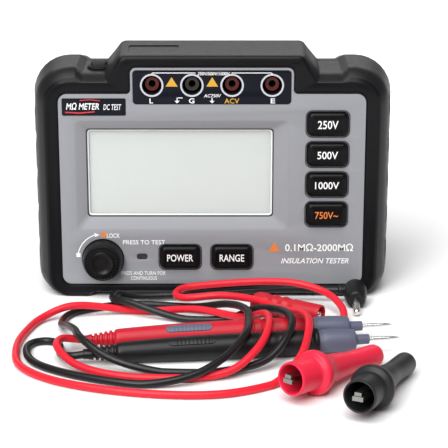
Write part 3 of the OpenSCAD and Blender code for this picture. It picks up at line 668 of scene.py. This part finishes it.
# Black plug: round knob, with its pin to the front
plug_at = aim((79.5, -48.2, 6.9), 268, -10)
knob_front = [(6.4, 1.5), (6.4, 4), (6.2, 6.5), (5.8, 8.8), (5.3, 10.6), (4.8, 11.7), (4.3, 12), (2.2, 12),
              (AXIS, 12)]
black_pieces += [
    turned("black_plug_body", round_end(6.4, 6.2) + knob_front, 56, "black_handle",
           "black_plug", plug_at, 45),
    turned("black_plug_relief", relief_profile(2.6, 3.4, 5.5, 2), 40, "black_handle",
           where=aim((70, -48, 6.9), 0, 0)),
    turned("black_plug_contact", pin_profile(11.9, 25.5, 1.9, 1.0), 32, "pin",
           "black_plug_pin", plug_at)]

# ---------------------------------------------------------------- case shells

FACE_Y = -37.5
CASE_HALF, SHOULDER_Z, DIP_Z = 101, 130, 126.8
PANEL_HALF, PANEL_LOW, PANEL_HIGH = 84, 7, 116
TONGUE_HALF, TONGUE_TOP = 44.5, 130.4
BAY_HALF, BAY_LOW, BAY_HIGH = 62, 7.6, 115
BOSS_HALF, BOSS_TOP = 49, 124.6
GRIP_Z = (25, 45.5, 66, 86.5, 107)
GRIP_HALF = 5.75
CAP_AT = (-62.4, -19)


def case_outline(inset, rise, drop, r_top, r_low, hump_top, foot, crown, dip_drop):
    """Bumpers with round corners, the dips beside the hump, and the hump itself."""
    half, top, low, dip = CASE_HALF - inset, SHOULDER_Z - drop, rise, DIP_Z - dip_drop
    keys = [(0, low + 2, 0), (66.5, low + 2, 1.2), (69.5, low, 1.2), (half, low, r_low), (half, top, r_top),
            (74.4, top, 1.6), (70.6, dip, 1.0), (foot, dip, 1.4), (crown, hump_top, 4.5), (0, hump_top, 0)]
    return mirrored(fillet(keys, 8, 5))


def shell_rings(rows):
    return [ring_at(case_outline(*row[1:]), row[0]) for row in rows]


def panel_ring(d):
    """The face panel's outline, with its tongue on top, moved outwards by d."""
    side, low, high = PANEL_HALF + d, PANEL_LOW - d, PANEL_HIGH + d
    tongue, top = TONGUE_HALF + d, TONGUE_TOP + d
    keys = [(0, low, 0), (60, low, 0), (66, low, 0), (side, low, max(5 + d, 1)), (side, high, max(5 + d, 1)),
            (68, high, 0), (62, high, 0), (tongue, high, max(2.2 - d, 0.4)), (tongue, top, max(3.2 + d, 0.6)),
            (0, top, 0)]
    return mirrored(fillet(keys, 8, 5))


def bay_ring(d):
    """The battery bay's outline, with the boss on top, moved outwards by d."""
    side, low, high = BAY_HALF + d, BAY_LOW - d, BAY_HIGH + d
    boss, top = BOSS_HALF + d, BOSS_TOP + d
    keys = [(0, low, 0), (30, low, 0), (42, low, 0), (side, low, max(3.7 + d, 0.6)),
            (side, high, max(3.7 + d, 0.6)), (57, high, 0), (53, high, 0), (boss, high, max(1.2 - d, 0.3)),
            (boss, top, max(3 + d, 0.5)), (0, top, 0)]
    return mirrored(fillet(keys, 8, 5))


def grip_pockets(x, y0, y1):
    return [side_pocket(side * x, side * 110, y0, y1, z - GRIP_HALF, z + GRIP_HALF)
            for side in (-1, 1) for z in GRIP_Z]


FRONT_ROWS = [
    # y, inset, rise, drop, top corner, low corner, hump top, hump foot, hump crown, dip drop
    (2.0, 0.6, 0.5, 0.5, 21, 13.5, 137.5, 58.8, 50.6, 0.5),
    (1.5, 0.5, 0.4, 0.4, 21, 13.5, 137.6, 58.9, 50.6, 0.4),
    (1.25, 0.05, 0.0, 0.0, 21, 13.5, 138.0, 59.0, 50.6, 0.0),
    (-4, 0.5, 0.0, 0.0, 21, 13.5, 138.0, 59.0, 50.6, 0.0),
    (-10, 1.1, 0.0, 0.0, 21, 13.5, 138.0, 59.0, 50.5, 0.0),
    (-16, 1.8, 0.0, 0.0, 21, 13.5, 138.0, 59.0, 50.4, 0.0),
    (-21, 2.4, 0.0, 0.0, 21, 13.5, 137.95, 58.9, 50.3, 0.0),
    (-25, 3.0, 0.0, 0.0, 21, 13.5, 137.9, 58.9, 50.2, 0.0),
    (-28, 3.5, 0.0, 0.1, 20.6, 13.5, 137.8, 58.8, 50.1, 0.05),
    (-30.2, 4.1, 0.0, 0.4, 20.2, 13.5, 137.7, 58.7, 50.0, 0.2),
    (-32, 4.8, 0.02, 1.0, 19.6, 13.5, 137.6, 58.6, 49.9, 0.5),
    (-33.6, 5.6, 0.05, 1.9, 19, 13.5, 137.5, 58.5, 49.8, 1.0),
    (-35, 6.5, 0.08, 2.9, 18.2, 13.5, 137.4, 58.3, 49.7, 1.7),
    (-36.3, 7.5, 0.12, 4.05, 17.2, 11.5, 137.25, 58.0, 49.6, 2.4),
    (-37.3, 8.35, 0.18, 5.05, 16.2, 11.5, 137.05, 57.7, 49.5, 3.0),
    (-38.1, 9.1, 0.24, 5.95, 15.2, 11.5, 136.65, 57.3, 49.3, 3.5),
    (-38.65, 9.8, 0.32, 6.65, 14.2, 11.5, 136.0, 56.9, 49.0, 3.9),
    (-38.93, 10.15, 0.38, 7.05, 13.2, 11.5, 135.2, 56.5, 48.7, 4.15),
    (-39.0, 10.4, 0.42, 7.35, 12.4, 11.5, 134.4, 56.2, 48.4, 4.3),
]
edge, lip = case_outline(*FRONT_ROWS[-1][1:]), panel_ring(1.5)
rings = shell_rings(FRONT_ROWS)
rings += [ring_at(between(edge, lip, t), y)
          for t, y in ((0.14, -38.9), (0.3, -38.45), (0.85, -38.2), (1, -38.1))]
rings += [ring_at(panel_ring(d), y) for d, y in ((0.8, -37.85), (0.45, -37.3), (0.35, -36.6), (0.35, -33),
                                                 (-3, -33), (-3, -9))]
front_shell = mesh_object("front_shell", *loft(rings, True, True), 34)
# the grips, a shallow recess on the hump, and the hole under the adaptor cap
hump_recess = column(rounded(-46, -18.5, -30, -12, 1.5), 137.45, 150)
cap_hole = column(circle(*CAP_AT, 4.4, 40), 118, 160)
cut(front_shell, grip_pockets(96, -29, 1.3) + [hump_recess, cap_hole])
dress(front_shell, "case", "front_case")
# Faces that look to the front take the darker copy, so the front carries painted shade
front_shell.data.materials.append(M["case_front_gloss_and_shade"])
for p in front_shell.data.polygons:
    if p.normal.y < -0.72:
        p.material_index = 1

REAR_ROWS = [
    (2.0, 0.6, 0.5, 0.5, 21, 14, 137.5, 58.8, 50.6, 0.5),
    (2.5, 0.5, 0.4, 0.4, 21, 14, 137.6, 58.9, 50.6, 0.4),
    (2.75, 0.05, 0.0, 0.0, 21, 14, 138.0, 59.0, 50.6, 0.0),
    (8, 0.15, 0.0, 1.1, 21, 14, 136.9, 59.2, 50.6, 0.1),
    (13, 0.3, 0.0, 2.2, 21, 14, 135.8, 59.2, 50.5, 1.2),
    (19, 0.7, 0.0, 3.5, 21, 14, 134.5, 59.1, 50.4, 2.6),
    (25, 1.3, 0.0, 4.8, 21, 14, 133.2, 59.0, 50.2, 4.0),
    (31, 2.0, 0.0, 6.0, 20.6, 14, 132.0, 58.9, 50.0, 5.2),
    (36, 2.8, 0.05, 7.0, 20, 14, 131.0, 58.8, 49.8, 6.2),
    (40, 3.7, 0.15, 7.9, 19.4, 14, 130.1, 58.6, 49.5, 7.0),
    (42.6, 4.8, 0.35, 8.7, 18.6, 14, 129.4, 58.3, 49.2, 7.7),
    (44.4, 6.0, 0.7, 9.6, 17.6, 14, 128.7, 57.8, 48.8, 8.4),
    (45.8, 7.3, 1.2, 10.5, 16.6, 14, 127.9, 57.2, 48.3, 9.1),
    (46.7, 8.6, 1.75, 11.4, 15.6, 14, 127.1, 56.6, 47.9, 9.7),
    (47.0, 9.6, 2.2, 12.0, 14.8, 14, 126.7, 56.2, 47.6, 10.1),
]
edge, mouth = case_outline(*REAR_ROWS[-1][1:]), bay_ring(0.7)
rings = shell_rings(REAR_ROWS)
rings += [ring_at(between(edge, mouth, 0.5), 47), ring_at(mouth, 47)]
rings += [ring_at(bay_ring(d), y) for d, y in ((0.35, 46.7), (0.3, 44.4), (-1.6, 44.4), (-1.6, 12.6))]
rear_shell = mesh_object("rear_shell", *loft(rings, True, True), 34)
screw_holes = [prism(circle(x, z, 4, 40), 42, 60) for x in (-78, 78) for z in (22, 104)]
cut(rear_shell, grip_pockets(96.6, 2.7, 30) + screw_holes)
dress(rear_shell, "case", "rear_case")

# ---------------------------------------------------------------- face

BUTTONS = {"button_250": (63.3, 99.3, "key_250"), "button_500": (63.3, 82.15, "key_500"),
           "button_1000": (63.3, 65.0, "key_1000"), "button_750": (63.3, 47.85, "key_750"),
           "button_power": (-18.0, 23.0, "key_power"), "button_range": (10.9, 23.0, "key_range")}
KEY_HALF_W, KEY_HALF_H = 11, 6.5
KNOB_AT = (-61.2, 21.6)
JACKS_X = (-32.7, -10.9, 10.9, 32.7)
JACK_Z = 120.8
BEZEL = (-75, 42, 39, 101)
WINDOW = (-69.4, 33.8, 45.6, 96)


def key_outline(x, z, grow, r):
    """A button's outline moved outwards by grow."""
    w, h = KEY_HALF_W + grow, KEY_HALF_H + grow
    return rounded(x - w, x + w, z - h, z + h, r)


holes = [rounded(*BEZEL, 3)] + [key_outline(x, z, 0.4, 3) for x, z, _ in BUTTONS.values()]
holes += [circle(*KNOB_AT, 11.8), rounded(-42.3, -36.3, 21.4, 24.8, 1.5)]
holes.append(rounded(-43.1, 43.1, 110.3, 129.0, 2.0))
dress(plate("face_plate", [panel_ring(0)] + holes, FACE_Y, 2.5, 0.3), "grey", "face_panel")


def box_rings(box, steps):
    """Rings round a box, each given as (growth, corner radius, y)."""
    x0, x1, z0, z1 = box
    return [ring_at(rounded(x0 - g, x1 + g, z0 - g, z1 + g, r), y) for g, r, y in steps]


rings = box_rings(BEZEL, ((0.4, 3.4, -36.2), (0.15, 3.1, -37.3), (0, 3, -37.45), (-0.4, 2.8, -37.35)))
rings += box_rings(WINDOW, ((0.8, 2.3, -34.75), (0.2, 2.1, -34.5), (0, 2, -34.2), (0, 2, -33.5)))
dress(mesh_object("display_bezel", *loft(rings), 28), "bezel")
rings = box_rings(WINDOW, ((0, 2, -34.3), (-0.6, 1.8, -34.35), (-0.65, 1.8, -33.52)))
dress(mesh_object("display_seal", *loft(rings), 28), "gasket_and_shade")
rings = box_rings(WINDOW, ((-0.65, 1.8, -33.75), (-1.2, 1.6, -33.7), (-1.4, 1.5, -33.52)))
dress(mesh_object("display_rim", *loft(rings), 28), "rim")


def at_sockets(name, profile, sides, key):
    """The same ring, from (radius, y) pairs, round each socket."""
    verts, faces = lathe(profile, sides, closed=True)
    parts = [([(px + x, py, JACK_Z + pz) for px, pz, py in verts], faces) for x in JACKS_X]
    dress(mesh_object(name, *join(parts), 40), key)


socket_holes = [circle(x, JACK_Z, 5.25, 56) for x in JACKS_X]
dress(plate("socket_plate", [rounded(-43, 43, 110.4, 128.9, 1.9)] + socket_holes, -37.75, 1.2, 0.2),
      "plate", "jack_panel")
at_sockets("socket_shrouds", [(5.25, -37.6), (6.4, -36.6), (6.4, -13.5), (5.2, -13.5)], 48,
           "socket_black")
at_sockets("socket_rings", [(5.35, -37.7), (5.5, -37.9), (6.3, -37.9), (6.4, -37.7)], 64,
           "ring")
dress(plate("name_plate_front", [rounded(-81.9, -47, 104.0, 113.6, 0.8)], -37.75, 0.7, 0.1),
      "plate", "name_plate")

# ---------------------------------------------------------------- legends

# Print lies just proud of the grey face, and of the black plates
FACE_INK, PLATE_INK, KEY_INK = -37.56, -37.82, -39.86
INK = {"white": [], "amber": [], "orange": [], "accent": []}


def letters(text, box, y, bold=0.0, shear=0.0):
    """Flat raised text fitted to a box (x0, x1, z0, z1)."""
    data = bpy.data.curves.new("text", "FONT")
    data.body = text
    data.size = 0.004
    data.extrude = 0.00004
    data.offset = bold * MM
    data.shear = shear
    data.resolution_u = 3
    me = curve_mesh("text", data)
    xs, ys = [v.co.x for v in me.vertices], [v.co.y for v in me.vertices]
    x0, x1, z0, z1 = box
    sx, sz = (x1 - x0) / (max(xs) - min(xs)), (z1 - z0) / (max(ys) - min(ys))
    verts = [(x0 + (v.co.x - min(xs)) * sx, y - v.co.z / MM, z0 + (v.co.y - min(ys)) * sz)
             for v in me.vertices]
    faces = [tuple(p.vertices) for p in me.polygons]
    bpy.data.meshes.remove(me)
    return verts, faces


def flat(points, y, ink):
    """A printed shape from its outline."""
    INK[ink].append(prism(points, y + 0.05, y))


def stroke(points, width, y, ink):
    """A printed line of constant width."""
    left, right = [], []
    for i, (x, z) in enumerate(points):
        a, b = points[max(i - 1, 0)], points[min(i + 1, len(points) - 1)]
        dx, dz = b[0] - a[0], b[1] - a[1]
        n = math.hypot(dx, dz)
        left.append((x - dz / n * width / 2, z + dx / n * width / 2))
        right.append((x + dz / n * width / 2, z - dx / n * width / 2))
    flat(left + right[::-1], y, ink)


# text, box, y, colour, boldness, slant
LEGENDS = (
    ("LOCK", (-58.8, -51.6, 34.1, 36.7), FACE_INK, "white", 0.03, 0),
    ("PRESS TO TEST", (-49.9, -26.4, 30.3, 32.8), FACE_INK, "white", 0.02, 0),
    ("PRESS AND TURN FOR", (-51.0, -26.2, 12.3, 14.5), FACE_INK, "white", 0.02, 0),
    ("CONTINUOUS", (-45.8, -31.2, 9.3, 11.5), FACE_INK, "white", 0.02, 0),
    ("0.1MΩ-2000MΩ", (40.6, 78.6, 26.3, 30.7), FACE_INK, "white", 0.04, 0),
    ("INSULATION TESTER", (38.4, 76.3, 19.1, 22.2), FACE_INK, "white", 0.05, 0.28),
    ("L", (-34.0, -32.1, 110.9, 113.6), PLATE_INK, "white", 0.06, 0),
    ("G", (-12.6, -9.6, 110.9, 113.7), PLATE_INK, "white", 0.06, 0),
    ("ACV", (6.7, 14.8, 110.8, 113.6), PLATE_INK, "amber", 0.04, 0),
    ("E", (31.9, 34.3, 110.9, 113.6), PLATE_INK, "white", 0.06, 0),
    ("250V/500V/1000V", (-7.9, 9.7, 126.4, 128.2), PLATE_INK, "white", 0.05, 0.2),
    ("AC750V", (-4.4, 4.9, 114.2, 116.0), PLATE_INK, "white", 0.03, 0.15),
    ("MΩ METER", (-79.5, -61.5, 107.4, 111.2), PLATE_INK, "white", 0.06, 0.2),
    ("DC TEST", (-59.2, -49.4, 107.2, 110.4), PLATE_INK, "white", 0.02, 0.2))
for text, box, y, ink, bold, slant in LEGENDS:
    INK[ink].append(letters(text, box, y, bold, slant))

# the arrow round the knob, from its square to the orange lock mark
arc = [(-61 + 14.3 * math.cos(math.radians(a)), 22.2 + 14.3 * math.sin(math.radians(a)))
       for a in range(108, 170, 4)]
stroke(arc, 0.55, FACE_INK, "white")
flat([(-76.1, 22.9), (-73.8, 22.9), (-73.8, 25.2), (-76.1, 25.2)], FACE_INK, "white")
flat([(-65.9, 37.0), (-65.3, 34.6), (-62.9, 35.9)], FACE_INK, "white")
flat(circle(-60.6, 36.0, 1.7, 24), FACE_INK, "orange")
flat([(31.4, 26.1), (37.8, 26.1), (34.6, 31.7)], FACE_INK, "orange")
# on the socket plate: brackets to the outer sockets, triangles and earth marks
stroke([(-32.7, 127.0), (-32.5, 127.5), (-32.0, 127.7), (-8.9, 127.7)], 0.4, PLATE_INK, "white")
stroke([(10.6, 127.7), (32.0, 127.7), (32.5, 127.5), (32.7, 127.0)], 0.4, PLATE_INK, "white")
for x0, x1 in ((-25.2, -18.6), (-3.1, 3.3)):
    flat([(x0, 120.2), (x1, 120.2), ((x0 + x1) / 2, 125.4)], PLATE_INK, "amber")
for x in (-19.0, 0.0):
    flat([(x - 1.3, 112.3), (x + 1.3, 112.3), (x, 110.9)], PLATE_INK, "white")
    flat([(x - 0.25, 112.3), (x + 0.25, 112.3), (x + 0.25, 114), (x - 0.25, 114)], PLATE_INK, "white")
flat([(-19.2, 113.7), (-16.0, 113.7), (-16.0, 114.1), (-19.2, 114.1)], PLATE_INK, "white")
# red flourishes on the name plate
stroke([(-80, 105.9), (-72, 105.5), (-64, 106.2)], 0.7, PLATE_INK, "accent")
stroke([(-72, 112.5), (-66, 112.9), (-61, 112.3)], 0.45, PLATE_INK, "accent")

for ink, parts in INK.items():
    dress(mesh_object("legend_" + ink, *join(parts), 60), ink)

# ---------------------------------------------------------------- buttons

# text, width, height, colour
LABELS = {"button_250": ("250V", 11.2, 4.6, "white"), "button_500": ("500V", 11.3, 4.3, "white"),
          "button_1000": ("1000V", 13.2, 4.1, "white"), "button_750": ("750V~", 12.8, 4.1, "orange"),
          "button_power": ("POWER", 14.5, 4.1, "white"), "button_range": ("RANGE", 13.7, 4.2, "white")}
# inset, corner radius, y: flange, side, bevel and dished top
KEY_STEPS = ((-1.0, 2.6, -34.0), (-1.0, 2.6, -34.8), (0.0, 2.5, -34.9), (0.0, 2.5, -38.0), (0.08, 2.5, -38.6),
             (0.35, 2.4, -39.2), (0.8, 2.2, -39.65), (1.4, 1.9, -39.95), (2.0, 1.6, -40.1),
             (2.4, 1.4, -40.05), (2.7, 1.3, -39.9), (3.4, 1.1, -39.82), (5.0, 0.8, -39.78))
# The dark ring round each button lines its gap and laps a little over the grey face; that lap is painted
# shade round the button
SURROUND_STEPS = ((1.3, 3.8, -37.45), (1.1, 3.6, -37.62), (0.7, 3.2, -37.6), (0.45, 3.0, -37.3),
                  (0.4, 3.0, -35.5))
surrounds = []
for node, (x, z, body) in BUTTONS.items():
    rings = [ring_at(key_outline(x, z, -inset, r), y) for inset, r, y in KEY_STEPS]
    dress(mesh_object(node + "_cap", *loft(rings, True, True), 50), "button", node, body)
    text, w, h, ink = LABELS[node]
    label = letters(text, (x - w / 2, x + w / 2, z - h / 2, z + h / 2), KEY_INK, 0.035)
    dress(mesh_object(node + "_label", *label, 60), ink, body=body)
    surrounds.append(loft([ring_at(key_outline(x, z, grow, r), y) for grow, r, y in SURROUND_STEPS]))
dress(mesh_object("button_surrounds", *join(surrounds), 40), "gasket_and_shade")

# ---------------------------------------------------------------- test knob

KNOB_RIBS = 28
# radius and y: dished centre, round rim, rib channel, and the skirt
KNOB_PROFILE = [(AXIS, -45.75), (2.5, -45.7), (4.2, -45.95), (5.2, -46.45), (5.7, -46.8), (6.1, -46.95),
                (6.5, -46.9), (6.75, -46.6), (6.95, -46.1), (7.2, -46.0), (8.9, -45.9), (9.1, -46.1),
                (9.35, -46.3), (9.7, -46.25), (10.0, -45.8), (10.4, -44.6), (10.8, -43), (11.1, -41.2),
                (11.3, -39.6), (11.4, -38.2), (11.4, -36.6), (AXIS, -36.6)]
RIB_OUTLINE = [(7.05, -0.42), (9.0, -0.48), (9.25, 0), (9.0, 0.48), (7.05, 0.42), (6.85, 0)]
FLUTE_SECTION = ((-1, -0.25), (-0.5, 0.05), (0, 0.12), (0.5, 0.05), (1, -0.25))


def spun(points, turn):
    """Points turned about the knob's axis."""
    c, s = math.cos(turn), math.sin(turn)
    return [(x * c - y * s, x * s + y * c, h) for x, y, h in points]


def knob_rib(turn):
    rows = []
    for inset, h in ((0, -45.7), (0, -46.35), (0.14, -46.55), (0.3, -46.6)):
        row = [(x + (inset if x < 8 else -inset), y * (1 - inset), h) for x, y in RIB_OUTLINE]
        rows.append(spun(row, turn))
    return loft(rows, True, True)


def knob_flute(turn):
    rows = []
    for r, h, w in ((9.95, -45.6, 0.3), (10.85, -43.3, 0.36), (11.32, -40, 0.42), (11.4, -38.3, 0.3)):
        rows.append(spun([(r + lift, s * w, h) for s, lift in FLUTE_SECTION], turn))
    return loft(rows, closed=False)


STEP = 2 * math.pi / KNOB_RIBS
knob = mesh_object("knob_body", *lathe(KNOB_PROFILE, 112), 45)
ribs = mesh_object("knob_ribs", *join([knob_rib(STEP * k) for k in range(KNOB_RIBS)]), 35)
flutes = mesh_object("knob_flutes", *join([knob_flute(STEP * (k + 0.5)) for k in range(KNOB_RIBS)]), 50)
dress(knob, "knob", "test_knob", "knob", facing(*KNOB_AT))
for obj in (ribs, flutes):
    dress(obj, "knob", body="knob", where=facing(*KNOB_AT))

# ---------------------------------------------------------------- adaptor cap and battery cover

CAP_PARTS = (
    ([(AXIS, 0.15), (6.3, 0.15), (6.55, 0.35), (6.6, 0.8), (6.45, 0.95), (5.9, 1.0), (5.85, 1.15),
      (6.3, 1.25), (6.35, 1.45), (6.1, 1.7), (5.2, 1.78), (AXIS, 1.8)], 64),
    ([(AXIS, -7), (3.9, -7), (4.1, -6.6), (4.1, 0.1), (AXIS, 0.2)], 48),
    ([(AXIS, -18), (2.3, -18), (2.7, -17.4), (2.7, -7), (AXIS, -6.9)], 40))
verts, faces = join([lathe(*part) for part in CAP_PARTS])
cap = mesh_object("cap_body", [(x + CAP_AT[0], y + CAP_AT[1], z + DIP_Z) for x, y, z in verts], faces, 40)
rings = []
for inset, z in ((0, 128.2), (0, 130.2), (0.25, 130.6), (0.7, 130.8)):
    outline = rounded(-66.8 + inset, -57.9 - inset, -22.6 + inset, -15.6 - inset, 1.6, 5)
    rings.append([(x, y, z) for x, y in outline])
tab = mesh_object("cap_tab", *loft(rings, True, True), 40)
dress(cap, "rubber", "adaptor_cap", "cap")
dress(tab, "rubber", body="cap")


def cover_rib(half, z, high, edge, r):
    """A raised rib on the cover, with sloped sides."""
    foot = rounded(-half, half, z, z + high, r)
    top = rounded(-half + 0.2, half - 0.2, z + edge, z + high - edge, r - 0.1)
    return loft([ring_at(foot, 46.4), ring_at(top, 47)], True, True)


cover_holes = [circle(x, 119.6, 3.25, 40) for x in (-42, 42)]
cover = plate("cover_plate", [bay_ring(0)] + cover_holes, 44.55, 2.05, 0.25)
parts = [cover_rib(30, z, 2, 0.2, 0.9) for z in (40, 60, 80)]
parts += [cover_rib(13, 14.5 + k * 1.9, 0.9, 0.15, 0.4) for k in range(5)]
cover_ribs = mesh_object("cover_ribs", *join(parts), 35)
dress(cover, "case", "battery_cover", "cover")
dress(cover_ribs, "case", body="cover")

# ---------------------------------------------------------------- nodes kept from the model

# finish, and width of the softened edges
KEEP = {"lcd_window": ("glass", 0.1), "lcd_module": ("display", 0.2), "backlight": ("rim", 0.2),
        "main_board": ("board", 0.15), "transformer": ("iron", 0.4), "capacitors": ("can", 0.4),
        "keypad_mat": ("mat", 0.15), "led_lens": ("lens", 0.25), "jack_l": ("socket_red", 0.25),
        "jack_g": ("socket_black", 0.25), "jack_acv": ("socket_red", 0.25), "jack_e": ("socket_red", 0.25),
        "contact_l": ("brass_in_painted_shade", 0.12), "contact_g": ("brass_in_painted_shade", 0.12), "contact_acv": ("brass_in_painted_shade", 0.12),
        "contact_e": ("brass_in_painted_shade", 0.12), "test_switch": ("inner", 0.4), "knob_plunger": ("pin", 0.2),
        "battery_tray": ("inner", 0.35), "battery_contacts": ("spring", 0.15), "batteries": ("cell", 0.5),
        "cover_screws": ("screw", 0.12), "case_screws": ("screw", 0.12), "bottom_feet": ("rubber", 0.5),
        "adaptor_socket": ("inner", 0.2)}
for name, (key, width) in KEEP.items():
    bevelled(NODES[name], width)
    NODES[name].data.materials.clear()
    NODES[name].data.materials.append(M[key])

# ---------------------------------------------------------------- stage and light

floor = mesh_object("floor", [(-4, -3, 0), (4, -3, 0), (4, 6, 0), (-4, 6, 0)], [(0, 1, 2, 3)], scale=1)
floor.data.materials.append(material("floor_white", (0.86, 0.86, 0.86), 0.7, 0.2, vary=0.01, vary_scale=2))


def area(name, at, look, size, power, size_y=None):
    data = bpy.data.lights.new(name, "AREA")
    data.energy = power
    data.size = size
    if size_y:
        data.shape = "RECTANGLE"
        data.size_y = size_y
    obj = bpy.data.objects.new(name, data)
    obj.location = at
    obj.rotation_euler = (Vector(look) - Vector(at)).to_track_quat("-Z", "Y").to_euler()
    SCENE.collection.objects.link(obj)


sun_data = bpy.data.lights.new("high_sun", "SUN")
sun_data.energy = 3.6
sun_data.angle = math.radians(55)
sun = bpy.data.objects.new("high_sun", sun_data)
sun.rotation_euler = (math.radians(28), math.radians(-12), 0)
SCENE.collection.objects.link(sun)
area("back_soft", (0, 1.7, 1.1), (0, 0, 0.1), 2.0, 9, size_y=0.8)
area("front_fill", (-0.6, -1.4, 0.75), (0, 0, 0.05), 0.4, 10)

world = bpy.data.worlds.new("world")
SCENE.world = world
world.use_nodes = True
world.node_tree.nodes["Background"].inputs["Color"].default_value = (1, 1, 1, 1)
world.node_tree.nodes["Background"].inputs["Strength"].default_value = 0.22
